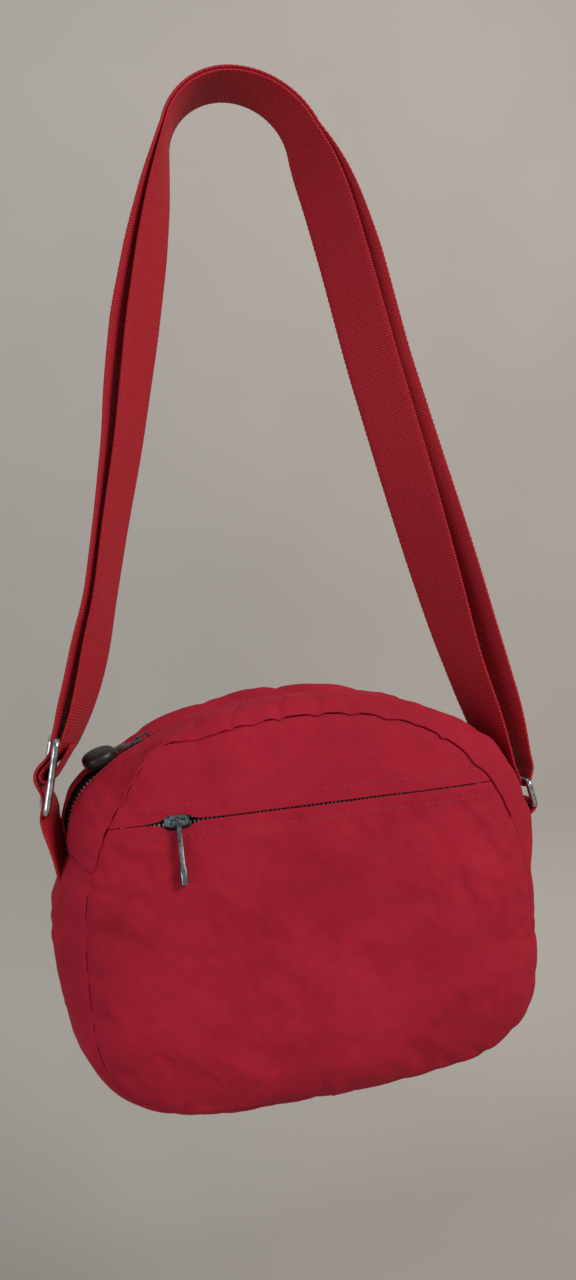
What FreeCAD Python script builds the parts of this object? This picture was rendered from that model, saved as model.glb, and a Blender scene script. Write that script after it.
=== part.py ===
import FreeCAD, Part
import math
import os

from FreeCAD import Rotation, Vector

# A small zipped shoulder bag that hangs from its doubled webbing strap.
# Millimetres. X runs across the bag, Y from front to back, Z up. The origin is
# the underside of the strap's top bend, where a hand or hook carries the bag.

# Bag body: a D-shaped seam outline, wider than high, with a puffed band round it
seam_width = 230.0
seam_above_widest = 107.3
seam_below_widest = 81.6
crown_power = 2.35
base_power = 4.0
seam_depth = 65.0
widest_z = -451.0
fabric = 1.6
lining = 0.6
seam_gap = 0.2
front_puff = 10.0
back_puff = 8.0
upper_puff = 4.0
front_crest_drop = 10.0
back_crest_rise = 10.0
upper_crest_rise = 28.0
outline_points = 32
inner_sides = 40
base_bulge = 4.0
side_bulge = 4.0
bulge_end_angle = 112.0

# Main zip: a shallow arc over the top that turns down at both shoulders. The
# sections of the band round the bag fan out from a hub below the widest line.
zip_radius = 195.0
zip_rise = 7.2
zip_shoulder_x = 102.6
zip_shoulder_radius = 33.0
zip_half_angle = 56.5
hub_drop = 29.0
zip_opening = 5.4
zip_hem = 4.4
front_strip_puff = 3.0
rear_strip_puff = 6.0
tape_thickness = 0.6
tape_width = 6.2
row_inner = 0.6
row_outer = 3.0
tooth_pitch = 4.4
tooth_length = 2.6
tooth_thickness = 2.2

# Main slider and its pull
slider_rest_angle = -22.9
slider_length = 12.6
slider_width = 9.0
slider_plate = 1.1
slider_clearance = 0.5
neck_thickness = 0.6
flange_gap = 0.35
flange_thickness = 0.7
bridge_height = 3.9
bridge_length = 9.0
bridge_width = 2.0
bridge_bar = 1.2
pull_bar_radius = 0.75
pull_arm_length = 14.8
pull_arm_gap = 8.0
pull_rise_angle = 6.0
pull_disc_radius = 9.0
pull_disc_thickness = 7.8
pull_disc_rim = 2.8
pull_disc_roll = 14.0

# Pocket zip: a straight line across the front, between two folded welts
pocket_zip_z = -388.0
pocket_zip_inset = 5.6
pocket_mouth_inset = 0.6
pocket_slit = 1.6
welt_width = 8.6
welt_lift = 3.9
pocket_teeth_pitch = 3.6
pocket_depth = 3.7
pocket_slider_x = -66.5
pocket_slider_length = 12.5
pocket_slider_width = 8.4
pocket_bridge_height = 5.6
pocket_pull_length = 29.5
pocket_pull_thickness = 2.0
pocket_pull_bead = 3.2
pocket_pull_bead_length = 8.0
pocket_pull_lean = 9.0

# Strap: one length of flat webbing, doubled over the grip
webbing_width = 30.0
webbing = 1.6
grip_radius = 36.0
grip_gap = 0.4
run_foot_x = 106.0
run_foot_z = -350.0
layer_spread = 9.0
left_twist = 36.0
right_twist = 60.0
left_flare_z = -290.0
right_flare_z = -300.0

# Adjuster on the left and ring on the right
wire_radius = 1.8
adjuster_x = -126.0
adjuster_z = -361.5
adjuster_tilt = 12.5
adjuster_half_height = 18.0
adjuster_inner_width = 32.0
adjuster_bar_radius = 1.7
wire_corner = 3.0
ring_inner_width = 32.0
ring_inner_height = 10.2
ring_lean = -11.0
tab_top_z = -406.5
tab_length = 9.0
ring_offset = 4.1
webbing_play = 0.3
patch_gap = 0.3

half_depth = seam_depth / 2
hub_z = widest_z - hub_drop
zip_centre_z = widest_z + seam_above_widest + zip_rise - zip_radius


def export(name, shape):
    os.makedirs("parts", exist_ok=True)
    shape.exportStep("parts/%s.step" % name)


def group(shapes):
    return Part.makeCompound(shapes)


# Outline of the seam, measured from the hub
def outside_seam(x, z):
    rise = z - widest_z
    power = crown_power if rise > 0 else base_power
    reach = seam_above_widest if rise > 0 else seam_below_widest
    return (abs(x) / (seam_width / 2)) ** power + (abs(rise) / reach) ** power - 1


def seam_reach(angle):
    low = 0.0
    high = seam_width
    run = math.sin(math.radians(angle))
    rise = math.cos(math.radians(angle))
    for _ in range(50):
        middle = (low + high) / 2
        if outside_seam(middle * run, hub_z + middle * rise) > 0:
            high = middle
        else:
            low = middle
    return low


def at_angle(angle, y, reach):
    turn = math.radians(angle)
    return Vector(reach * math.sin(turn), y, hub_z + reach * math.cos(turn))


def angle_at_height(z):
    low = 0.0
    high = 180.0
    for _ in range(50):
        middle = (low + high) / 2
        if at_angle(middle, 0, seam_reach(middle)).z > z:
            low = middle
        else:
            high = middle
    return low


def half_width_at(z):
    low = 0.0
    high = seam_width
    for _ in range(50):
        middle = (low + high) / 2
        if outside_seam(middle, z) > 0:
            high = middle
        else:
            low = middle
    return low


def spline(points, closed=False):
    curve = Part.BSplineCurve()
    curve.interpolate(points, PeriodicFlag=closed)
    return curve.toShape()


def line(a, b):
    return Part.makeLine(a, b)


# A D outline, or the part of it between two angles closed by a straight edge
def seam_piece(first, last, count, y, scale, centre_z, inset=0.0, curved=True):
    points = []
    for i in range(count + 1):
        angle = first + (last - first) * i / count
        point = at_angle(angle, y, seam_reach(angle) - inset)
        points.append(Vector(point.x * scale, y, centre_z + (point.z - centre_z) * scale))
    if not curved:
        return Part.makePolygon(points + ([] if abs(last - first) >= 360 else points[:1]))
    if abs(last - first) >= 360:
        return Part.Wire([spline(points[:-1], True)])
    return Part.Wire([spline(points), line(points[-1], points[0])])


# The same outline in short straight sides, for the pieces inside
def inner_outline(y, inset):
    turns = [360 * i / inner_sides for i in range(inner_sides + 1)]
    return Part.Face(Part.makePolygon([at_angle(turn, y, seam_reach(turn) - inset) for turn in turns]))


# A panel sewn flat round its edge and puffed out in the middle
puff_levels = 7


def puff_step(i):
    share = i / (puff_levels - 1)
    return 1 - 0.7 * share, 1 - (1 - share) ** 2.6


def pillow(first, last, count, centre_z, base_y, puff, inset, sink, curved):
    side = -1 if base_y < 0 else 1
    wires = []
    for i in range(puff_levels):
        scale, height = puff_step(i)
        y = base_y + side * (puff * height - sink)
        wires.append(seam_piece(first, last, count, y, scale, centre_z, inset, curved))
    return Part.makeLoft(wires, True, not curved)


def puffed_panel(first, last, count, centre_z, base_y, puff):
    outside = pillow(first, last, count, centre_z, base_y, puff, 0.0, 0.0, True)
    inside = pillow(first, last, count, centre_z, base_y, puff, fabric, fabric, False)
    return outside.cut(inside)


# The zip's path, by length from its top and by distance outwards
crown_turn = math.asin(zip_shoulder_x / zip_radius)
crown_length = zip_radius * crown_turn
shoulder_x = zip_shoulder_x - zip_shoulder_radius * math.sin(crown_turn)
shoulder_z = zip_centre_z + (zip_radius - zip_shoulder_radius) * math.cos(crown_turn)


def zip_reach(angle):
    turn = math.radians(min(angle % 360, -angle % 360))
    hub_rise = hub_z - zip_centre_z
    if math.atan2(zip_shoulder_x, zip_radius * math.cos(crown_turn) - hub_rise) > turn:
        return math.sqrt(zip_radius ** 2 - (hub_rise * math.sin(turn)) ** 2) - hub_rise * math.cos(turn)
    rise = shoulder_z - hub_z
    along = shoulder_x * math.sin(turn) + rise * math.cos(turn)
    return along + math.sqrt(along ** 2 - shoulder_x ** 2 - rise ** 2 + zip_shoulder_radius ** 2)


zip_end = at_angle(zip_half_angle, 0, zip_reach(zip_half_angle))
zip_length = crown_length + zip_shoulder_radius * (
    math.atan2(zip_end.x - shoulder_x, zip_end.z - shoulder_z) - crown_turn)


def zip_spot(length):
    side = -1 if length < 0 else 1
    if abs(length) <= crown_length:
        return Vector(0, 0, zip_centre_z), zip_radius, length / zip_radius
    turn = crown_turn + (abs(length) - crown_length) / zip_shoulder_radius
    return Vector(side * shoulder_x, 0, shoulder_z), zip_shoulder_radius, side * turn


def zip_point(length, outwards):
    centre, radius, turn = zip_spot(length)
    return centre + Vector(math.sin(turn), 0, math.cos(turn)) * (radius + outwards)


def zip_line(outwards):
    edges = []
    for first, last in ((-zip_length, -crown_length), (-crown_length, crown_length), (crown_length, zip_length)):
        edges.append(Part.Arc(*[zip_point(at, outwards) for at in (first, (first + last) / 2, last)]).toShape())
    return edges


# Sections of the band round the bag, each in a plane through the hub
def band_bulge(angle):
    turned = min(angle, 360 - angle)
    top_bulge = zip_reach(zip_half_angle) + fabric - seam_reach(zip_half_angle)
    share = max(0.0, (bulge_end_angle - turned) / (bulge_end_angle - zip_half_angle))
    return base_bulge + (top_bulge - base_bulge) * share ** 2 + 4 * side_bulge * share * (1 - share)


def band_section(angle, sink, wall, depth):
    rim = seam_reach(angle) - sink
    bulge = band_bulge(angle)
    if sink > 0:
        corners = [(-depth, rim), (depth, rim), (depth, rim - wall), (-depth, rim - wall)]
        points = [at_angle(angle, y, reach) for y, reach in corners]
        return Part.makePolygon(points + points[:1])
    edges = []
    for reach, order in ((rim, 1), (rim - wall, -1)):
        ends = [at_angle(angle, -order * depth, reach), at_angle(angle, order * depth, reach)]
        crest = at_angle(angle, 0, reach + bulge)
        edges.append(Part.Arc(ends[0], crest, ends[1]).toShape())
    outer, inner = edges
    close = [line(outer.lastVertex().Point, inner.firstVertex().Point)]
    close.append(line(inner.lastVertex().Point, outer.firstVertex().Point))
    return Part.Wire([outer, close[0], inner, close[1]])


def loft(wires):
    return Part.makeLoft(wires, True, True)


def both_halves(right):
    return right.fuse(right.mirror(Vector(0, 0, 0), Vector(1, 0, 0))).removeSplitter()


band_corners = [[zip_half_angle, 62, 68, 78, 88, 98, 108, 117], [117, 123, 129, 134, 139, 145, 152, 162, 171, 180]]


def band(sink, wall, depth, end_gap):
    half = None
    for angles in band_corners:
        kept = [max(a, zip_half_angle + end_gap) for a in angles]
        piece = loft([band_section(a, sink, wall, depth) for a in kept])
        half = piece if half is None else half.fuse(piece)
    return both_halves(half)


# Top strips: from a seam up to the hem that is stitched along the zip
def strip_section(angle, side):
    rim = seam_reach(angle)
    edge = zip_reach(angle) + fabric
    puff = rear_strip_puff if side > 0 else front_strip_puff
    puff *= 1 - (angle / zip_half_angle) ** 4
    hem = zip_opening + zip_hem
    edges = []
    for sink in (0.0, fabric):
        seam = at_angle(angle, side * (half_depth - seam_gap), rim - sink)
        fold = at_angle(angle, side * hem, edge - sink)
        lip = at_angle(angle, side * zip_opening, edge - sink)
        middle_y = side * (hem + half_depth) / 2
        crest = at_angle(angle, middle_y, (rim + edge) / 2 + puff - sink)
        edges.append((seam, crest, fold, lip))
    outer, inner = edges
    return Part.Wire([
        Part.Arc(outer[0], outer[1], outer[2]).toShape(),
        line(outer[2], outer[3]),
        line(outer[3], inner[3]),
        line(inner[3], inner[2]),
        Part.Arc(inner[2], inner[1], inner[0]).toShape(),
        line(inner[0], outer[0]),
    ])


strip_shares = [0, 0.13, 0.26, 0.39, 0.52, 0.64, 0.74, 0.78, 0.815, 0.85, 0.88, 0.91, 0.94, 0.97, 1]


def top_strip(side):
    turns = [zip_half_angle * share for share in strip_shares]
    return both_halves(loft([strip_section(turn, side) for turn in turns]))


# A tape: a thin band along the zip's path
def main_tape(y_low, y_high):
    outer = zip_line(-0.5 * tape_thickness)
    inner = zip_line(-1.5 * tape_thickness)
    ends = [line(zip_point(at, -0.5 * tape_thickness), zip_point(at, -1.5 * tape_thickness))
            for at in (-zip_length, zip_length)]
    wire = Part.Wire(Part.__sortEdges__(outer + inner + ends))
    tape = Part.Face(wire).extrude(Vector(0, y_high - y_low, 0))
    tape.translate(Vector(0, y_low, 0))
    return tape


# Moves a piece that was made round the origin to its place along the zip
def along_zip(shape, length):
    centre, radius, turn = zip_spot(length)
    shape.translate(Vector(0, 0, radius - tape_thickness))
    shape.rotate(Vector(0, 0, 0), Vector(0, 1, 0), math.degrees(turn))
    shape.translate(centre)
    return shape


def tooth(length, low, high, side, inner, outer):
    half = length / 2
    shape = [(-half + 0.55, outer), (-half, inner), (half, inner), (half - 0.55, outer)]
    points = [Vector(x, side * y, low) for x, y in shape]
    face = Part.Face(Part.makePolygon(points + points[:1]))
    return face.extrude(Vector(0, 0, high - low))


def main_teeth(side):
    count = int(2 * (zip_length - 1.5 * tooth_pitch) / tooth_pitch)
    low = -tooth_thickness / 2
    one = tooth(tooth_length, low, low + tooth_thickness, side, row_inner, row_outer)
    return group([along_zip(one.copy(), (i - count / 2 + 0.25 * side) * tooth_pitch) for i in range(count + 1)])


def main_stops():
    stops = []
    for end in (-1, 1):
        for side in (-1, 1):
            block = Part.makeBox(3.0, row_outer - row_inner, tooth_thickness + 0.6)
            block.translate(Vector(-1.5, row_inner if side > 0 else -row_outer, -tooth_thickness / 2 - 0.3))
            stops.append(along_zip(block, end * (zip_length - 2.0)))
    return group(stops)


# A zip slider about its own middle: X along the chain, Z away from the bag
def slider_body(length, width, gap, bridge_rise, arch_length, post):
    half = length / 2
    wide = width / 2
    tail = wide - 0.15
    outline = [(-half, -tail + 1), (-half + 1, -tail), (half - 2, -wide), (half, -wide + 1.6)]
    outline += [(half, wide - 1.6), (half - 2, wide), (-half + 1, tail), (-half, tail - 1)]
    body = None
    for low in (-gap / 2 - slider_plate, gap / 2):
        points = [Vector(x, y, low) for x, y in outline]
        plate = Part.Face(Part.makePolygon(points + points[:1])).extrude(Vector(0, 0, slider_plate))
        body = plate if body is None else body.fuse(plate)
    neck = Part.makeBox(2.6, post, gap + slider_plate)
    neck.translate(Vector(half - 3.0, -post / 2, -gap / 2 - slider_plate / 2))
    body = body.fuse(neck)
    for side in (-1, 1):
        flange = Part.makeBox(length - 4, flange_thickness, slider_plate + 0.9)
        y = row_outer + flange_gap if side > 0 else -row_outer - flange_gap - flange_thickness
        flange.translate(Vector(-half + 1.5, y, gap / 2 - 0.9))
        body = body.fuse(flange)
    return body.fuse(arch(gap / 2 + slider_plate, bridge_rise, arch_length)).removeSplitter()


def arch(base, rise, length):
    half = length / 2
    slope = 1.0
    outer = [(-half, base - 0.4), (-half + slope, base + rise), (half - slope, base + rise), (half, base - 0.4)]
    reach = half - bridge_bar
    top = base + rise - bridge_bar
    inner = [(-reach, base - 0.4), (-reach + slope, top), (reach - slope, top), (reach, base - 0.4)]
    outer += list(reversed(inner))
    points = [Vector(x, -bridge_width / 2, z) for x, z in outer]
    return Part.Face(Part.makePolygon(points + points[:1])).extrude(Vector(0, bridge_width, 0))


chain_gap = tooth_thickness + 2 * slider_clearance
slider_rest = zip_radius * math.radians(slider_rest_angle)
pull_pivot_x = -bridge_length / 2 + bridge_bar + 1.1 + pull_bar_radius
pull_pivot_z = chain_gap / 2 + slider_plate + bridge_height - bridge_bar - pull_bar_radius - 0.3


def main_slider():
    body = slider_body(slider_length, slider_width, chain_gap, bridge_height, bridge_length, neck_thickness)
    return along_zip(body, slider_rest)


# The pull points along -X from its bar, then leans up by the angle it rests at
def lay_pull(shape):
    shape.rotate(Vector(0, 0, 0), Vector(0, 1, 0), pull_rise_angle)
    shape.translate(Vector(pull_pivot_x, 0, pull_pivot_z))
    return along_zip(shape, slider_rest)


def main_pull_link():
    arm_y = bridge_width / 2 + 0.5
    arm_width = 1.3
    span = 2 * (arm_y + arm_width)
    bar = Part.makeCylinder(pull_bar_radius, span, Vector(0, -span / 2, 0), Vector(0, 1, 0))
    link = bar
    for side in (-1, 1):
        arm = Part.makeBox(pull_arm_gap + 0.4, arm_width, 2 * pull_bar_radius)
        arm.translate(Vector(-pull_arm_gap - 0.4, arm_y if side > 0 else -arm_y - arm_width, -pull_bar_radius))
        link = link.fuse(arm)
    block = Part.makeBox(pull_arm_length - pull_arm_gap, span, 2.4)
    block.translate(Vector(-pull_arm_length, -span / 2, -1.2))
    return lay_pull(link.fuse(block).removeSplitter())


def main_pull_disc():
    centre = -pull_arm_length - pull_disc_radius + 0.8
    bulge = (pull_disc_thickness - pull_disc_rim) / 2
    dome = (pull_disc_radius ** 2 + bulge ** 2) / (2 * bulge)
    drop = dome - pull_disc_thickness / 2
    disc = Part.makeCylinder(pull_disc_radius, pull_disc_thickness, Vector(0, 0, -pull_disc_thickness / 2))
    disc = disc.common(Part.makeSphere(dome, Vector(0, 0, drop)))
    disc = disc.common(Part.makeSphere(dome, Vector(0, 0, -drop)))
    disc.rotate(Vector(0, 0, 0), Vector(1, 0, 0), pull_disc_roll)
    disc.translate(Vector(centre, 0, 0))
    seat = Part.makeBox(4, 2 * pull_disc_radius, 2 * pull_disc_thickness)
    seat.translate(Vector(-pull_arm_length, -pull_disc_radius, -pull_disc_thickness))
    return lay_pull(disc.cut(seat))


# Pocket zip on the front, laid out as depth outwards from the middle of the bag
def front_box(x_low, x_high, z_low, z_high, out_low, out_high):
    box = Part.makeBox(x_high - x_low, out_high - out_low, z_high - z_low)
    box.translate(Vector(x_low, -out_high, z_low))
    return box


pocket_chain_out = half_depth - 0.6
pocket_mouth_half = half_width_at(pocket_zip_z) - pocket_mouth_inset
pocket_zip_half = half_width_at(pocket_zip_z) - pocket_zip_inset
welt_top = half_depth + welt_lift


def within_seam(inset):
    face = Part.Face(seam_piece(0, 360, outline_points, -half_depth - 20, 1.0, widest_z, inset))
    return face.extrude(Vector(0, 40, 0))


def pocket_tapes():
    tapes = []
    for side in (-1, 1):
        z = sorted((pocket_zip_z + side * (row_outer + 0.05), pocket_zip_z + side * (welt_width + 3)))
        out = pocket_chain_out
        tape = front_box(-pocket_mouth_half, pocket_mouth_half, z[0], z[1], out - 0.3, out + 0.3)
        tapes.append(tape.common(within_seam(2.0)))
    return group(tapes)


def pocket_teeth():
    teeth = []
    count = int((2 * pocket_zip_half - 10) / pocket_teeth_pitch)
    for side in (-1, 1):
        for i in range(count + 1):
            x = (i - count / 2 + 0.25 * side) * pocket_teeth_pitch
            z = sorted((pocket_zip_z + side * row_inner, pocket_zip_z + side * row_outer))
            low = pocket_chain_out - tooth_thickness / 2
            teeth.append(front_box(x - 0.9, x + 0.9, z[0], z[1], low, low + tooth_thickness))
    return group(teeth)


def pocket_stops():
    stops = []
    for end in (-1, 1):
        x = end * (pocket_zip_half - 1.6)
        low = pocket_chain_out - tooth_thickness / 2
        z = pocket_zip_z
        stops.append(front_box(x - 1.4, x + 1.4, z - row_outer, z + row_outer, low, low + tooth_thickness))
    return group(stops)


def pocket_welt(side):
    inner = pocket_slit
    outline = [(inner, welt_top), (5.2, welt_top), (welt_width, half_depth + fabric)]
    outline += [(welt_width, half_depth), (welt_width - 1.1, half_depth)]
    outline += [(4.9, welt_top - 1.5), (inner, welt_top - 1.5)]
    points = [Vector(-pocket_mouth_half, -out, pocket_zip_z + side * rise) for rise, out in outline]
    bar = Part.Face(Part.makePolygon(points + points[:1])).extrude(Vector(2 * pocket_mouth_half, 0, 0))
    return bar.common(within_seam(0.4))


# Turns a slider's own frame so that it lies on the front: Z becomes outwards
def on_front(shape, x):
    shape.rotate(Vector(0, 0, 0), Vector(1, 0, 0), 90)
    shape.translate(Vector(x, -pocket_chain_out, pocket_zip_z))
    return shape


def pocket_slider():
    rise = pocket_bridge_height
    body = slider_body(pocket_slider_length, pocket_slider_width, chain_gap, rise, 8.0, neck_thickness)
    return on_front(body, pocket_slider_x)


pocket_pivot_out = pocket_chain_out + chain_gap / 2 + slider_plate + pocket_bridge_height - bridge_bar / 2


def pocket_pull():
    hole = 1.5
    rim = 1.1
    half = pocket_pull_thickness / 2
    eye = Part.makeCylinder(hole + rim, 2 * half, Vector(-half, 0, 0), Vector(1, 0, 0))
    stem = Part.makeBox(2 * half, 2.6, pocket_pull_length - 4)
    stem.translate(Vector(-half, -1.3, -pocket_pull_length + 2))
    bead_half = pocket_pull_bead / 2
    bead = Part.makeBox(2 * bead_half, 5.0, pocket_pull_bead_length)
    bead.translate(Vector(-bead_half, -2.5, -pocket_pull_length))
    bead = bead.makeFillet(0.9, [e for e in bead.Edges if e.BoundBox.ZLength > 1])
    bore = Part.makeCylinder(hole, 2 * half, Vector(-half, 0, 0), Vector(1, 0, 0))
    pull = eye.fuse(stem).fuse(bead).cut(bore).removeSplitter()
    pull.rotate(Vector(0, 0, 0), Vector(1, 0, 0), -pocket_pull_lean)
    pull.translate(Vector(pocket_slider_x, -pocket_pivot_out, pocket_zip_z))
    return pull


# Flat pieces inside the bag
def flat_sheet(y, thickness, inset):
    return inner_outline(y, inset).extrude(Vector(0, thickness, 0))


def seam_binding(y, width):
    return inner_outline(y, 3.0).cut(inner_outline(y, 3.8)).extrude(Vector(0, width, 0))


def slip_pocket(y):
    width = 150.0
    height = 95.0
    sheet = Part.makeBox(width, lining, height)
    sheet.translate(Vector(-width / 2, y, widest_z - 62))
    corners = [e for e in sheet.Edges if abs(e.BoundBox.ZMax - widest_z + 62) < 0.01 and e.Length < 1]
    sheet = sheet.makeFillet(14.0, corners)
    hem = Part.makeBox(width, lining, 8.0)
    hem.translate(Vector(-width / 2, y - lining, widest_z - 62 + height - 8))
    return sheet.fuse(hem).removeSplitter()


# Strap runs: straight from the grip's arc to a foot, then flared to the hardware
grip_centre_z = -grip_radius
inner_reach = grip_radius + webbing / 2
outer_reach = inner_reach + webbing + grip_gap


def run_angle():
    low = 0.0
    high = math.radians(45)
    for _ in range(50):
        middle = (low + high) / 2
        x = run_foot_x * math.cos(middle) + (run_foot_z - grip_centre_z) * math.sin(middle)
        if x > inner_reach:
            low = middle
        else:
            high = middle
    return low


lean = run_angle()
run_start = Vector(inner_reach * math.cos(lean), 0, grip_centre_z + inner_reach * math.sin(lean))


def run_point(share, end, flare_z, flare):
    z = run_start.z + (end.z - run_start.z) * share
    x = run_start.x + (run_start.z - z) * math.tan(lean)
    if z < flare_z:
        x += flare * ((flare_z - z) / (flare_z - end.z)) ** 2
    return Vector(x, 0, z)


def webbing_run(side, end, flare_z, end_spread, twist, power, spread):
    straight_x = run_start.x + (run_start.z - end.z) * math.tan(lean)
    flare = end.x - straight_x
    first_spread = webbing + grip_gap
    steps = 12
    wires = []
    for i in range(steps + 1):
        share = i / steps
        here = run_point(share, end, flare_z, flare)
        ahead = run_point(share + 0.01, end, flare_z, flare)
        back = run_point(share - 0.01, end, flare_z, flare)
        along = (ahead - back).normalize()
        normal = Vector(-along.z, 0, along.x)
        bow = (layer_spread - (first_spread + end_spread) / 2) * math.sin(math.pi * share)
        apart = (first_spread + (end_spread - first_spread) * share + bow) * spread
        turn = math.radians(twist) * math.sin(math.pi * min(max(share, 0), 1)) ** power
        across = Vector(0, -math.cos(turn), 0) + normal * math.sin(turn)
        face = normal * math.cos(turn) + Vector(0, math.sin(turn), 0)
        middle = here + normal * apart
        corners = []
        for w, t in ((-1, -1), (1, -1), (1, 1), (-1, 1)):
            point = middle + across * (w * webbing_width / 2) + face * (t * webbing / 2)
            corners.append(Vector(side * point.x, point.y, point.z))
        wires.append(Part.makePolygon(corners + corners[:1]))
    return Part.makeLoft(wires, True, False)


def grip_arc(reach):
    turn = math.degrees(lean)
    low = reach - webbing / 2
    corners = []
    for y, r in ((-1, low), (1, low), (1, low + webbing), (-1, low + webbing)):
        x = r * math.cos(lean)
        z = grip_centre_z + r * math.sin(lean)
        corners.append(Vector(x, y * webbing_width / 2, z))
    face = Part.Face(Part.makePolygon(corners + corners[:1]))
    return face.revolve(Vector(0, 0, grip_centre_z), Vector(0, 1, 0), -(180 - 2 * turn))


# A smooth middle line through the given points, sampled closely
def smooth(path, steps):
    ends = [path[0] * 2 - path[1]] + path + [path[-1] * 2 - path[-2]]
    points = []
    for i in range(1, len(ends) - 2):
        before, here, following, after = ends[i - 1:i + 3]
        length = (following - here).Length
        turn_in = (following - before).normalize() * length
        turn_out = (after - here).normalize() * length
        for k in range(steps):
            t = k / steps
            point = here * (1 - 3 * t * t + 2 * t ** 3) + following * (3 * t * t - 2 * t ** 3)
            point = point + turn_in * (t - 2 * t * t + t ** 3) + turn_out * (t ** 3 - t * t)
            points.append(point)
    return points + [path[-1]]


# Flat webbing along a path in the XZ plane, given by its middle line
def ribbon(path, thickness=webbing, width=webbing_width, steps=3):
    points = smooth(path, steps)
    outer = []
    inner = []
    for i, point in enumerate(points):
        along = points[min(i + 1, len(points) - 1)] - points[max(i - 1, 0)]
        along.normalize()
        normal = Vector(-along.z, 0, along.x) * (thickness / 2)
        outer.append(point + normal - Vector(0, width / 2, 0))
        inner.append(point - normal - Vector(0, width / 2, 0))
    loop = outer + list(reversed(inner)) + outer[:1]
    return Part.Face(Part.makePolygon(loop)).extrude(Vector(0, width, 0))


# Bent-wire frames: a rounded rectangle in the YZ plane, its long bars along Y
def wire_section(y, z, turn):
    circle = Part.Wire([Part.makeCircle(wire_radius)])
    circle.rotate(Vector(0, 0, 0), Vector(1, 0, 0), turn)
    circle.translate(Vector(0, y, z))
    return circle


def wire_frame(half_width, half_height, corner):
    side = half_width - corner
    rise = half_height - corner
    sections = [wire_section(0, half_height, 90)]
    for turn in (90, 60, 30, 0):
        angle = math.radians(turn)
        sections.append(wire_section(side + corner * math.cos(angle), rise + corner * math.sin(angle), turn))
    sections.append(wire_section(half_width, 0, 0))
    quarter = Part.makeLoft(sections, True, True)
    half = quarter.fuse(quarter.mirror(Vector(0, 0, 0), Vector(0, 0, 1)))
    return half.fuse(half.mirror(Vector(0, 0, 0), Vector(0, 1, 0))).removeSplitter()


# Adjuster frame of reference: out is away from the bag, up is along the strap
def adjuster_point(out, up):
    tilt = math.radians(adjuster_tilt)
    along = Vector(math.sin(tilt), 0, math.cos(tilt))
    outwards = Vector(-math.cos(tilt), 0, math.sin(tilt))
    return Vector(adjuster_x, 0, adjuster_z) + along * up + outwards * out


wrap_reach = wire_radius + webbing_play + webbing / 2
beside_wire = wire_radius + webbing_play + webbing / 2


def adjuster_frame():
    half_width = adjuster_inner_width / 2 + wire_radius
    frame = wire_frame(half_width, adjuster_half_height, wire_corner)
    bar_length = 2 * half_width
    bar = Part.makeCylinder(adjuster_bar_radius, bar_length, Vector(0, -half_width, 0), Vector(0, 1, 0))
    frame = frame.fuse(bar)
    frame.rotate(Vector(0, 0, 0), Vector(0, 1, 0), adjuster_tilt)
    frame.translate(Vector(adjuster_x, 0, adjuster_z))
    return frame


sewn_end_out = -9.6
sewn_tail = 17.2
sewn_end_up = adjuster_half_height + 4.8
inner_run_end = adjuster_point(sewn_end_out, sewn_end_up)


# Direction of a run at its lower end, on the right side of the bag
def run_heading(end, flare_z):
    flare = end.x - run_start.x - (run_start.z - end.z) * math.tan(lean)
    step = run_point(1.01, end, flare_z, flare) - run_point(0.99, end, flare_z, flare)
    return step.normalize()


def across_run(heading):
    return Vector(-heading.z, 0, heading.x)


left_spread = 6.8
left_low = Vector(-inner_run_end.x, 0, inner_run_end.z)
left_heading = run_heading(left_low, left_flare_z)
left_outer_low = left_low + across_run(left_heading) * left_spread


def mirror(point):
    return Vector(-point.x, point.y, point.z)


def adjuster_pass():
    over = wrap_reach + webbing + 0.3
    top = adjuster_half_height
    path = [mirror(left_outer_low + left_heading * 0.1), mirror(left_outer_low + left_heading * 1.6)]
    lower = [(-beside_wire, top), (-beside_wire + 0.2, top - 2), (-1.7, 12.2), (0.8, 8.2)]
    lower += [(over * 0.78, over * 0.76), (over, 0), (over * 0.78, -over * 0.76)]
    lower += [(0.8, -8.2), (-1.7, -12.2), (-beside_wire + 0.2, 2 - top), (-beside_wire, -top)]
    lower += [(-beside_wire - 0.2, -top - 4)]
    return ribbon(path + [adjuster_point(out, up) for out, up in lower])


def sewn_end():
    path = [mirror(left_low), mirror(left_low + left_heading * 1.5)]
    turns = [35, 0, -35, -70, -105, -140]
    wrap = [(wrap_reach * math.cos(math.radians(a)), wrap_reach * math.sin(math.radians(a))) for a in turns]
    loop = [(-7.9, 16.4), (-5.6, 11.6), (-1.6, 6.8)] + wrap
    loop += [(-4.6, 3.2), (-7.7, 10.6), (-10.3, sewn_tail)]
    return ribbon(path + [adjuster_point(out, up) for out, up in loop])


tab_bottom_z = tab_top_z - tab_length


# Where the webbing is tucked in, on the bag's side at the foot of the tabs
def anchor_x():
    angle = zip_half_angle
    side = zip_end
    while side.z > tab_bottom_z:
        side = at_angle(angle, 0, seam_reach(angle) + band_bulge(angle))
        angle += 0.25
    return side.x + patch_gap + webbing / 2


def anchor_webbing():
    start = adjuster_point(-beside_wire - 0.2, -adjuster_half_height - 4.3)
    patch = -anchor_x()
    path = [start, Vector((start.x + patch) / 2, 0, (start.z + tab_bottom_z) / 2)]
    path += [Vector(patch, 0, tab_bottom_z + 6), Vector(patch, 0, tab_bottom_z)]
    return ribbon(path)


# Ring: its lower bar in the tab, its upper bar in the strap's fold
ring_bar_span = ring_inner_height + 2 * wire_radius
tab_x = anchor_x()
ring_low = Vector(tab_x + beside_wire + ring_offset, 0, tab_top_z)
ring_turn = math.radians(ring_lean)
ring_high = ring_low + Vector(math.sin(ring_turn), 0, math.cos(ring_turn)) * ring_bar_span


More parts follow.
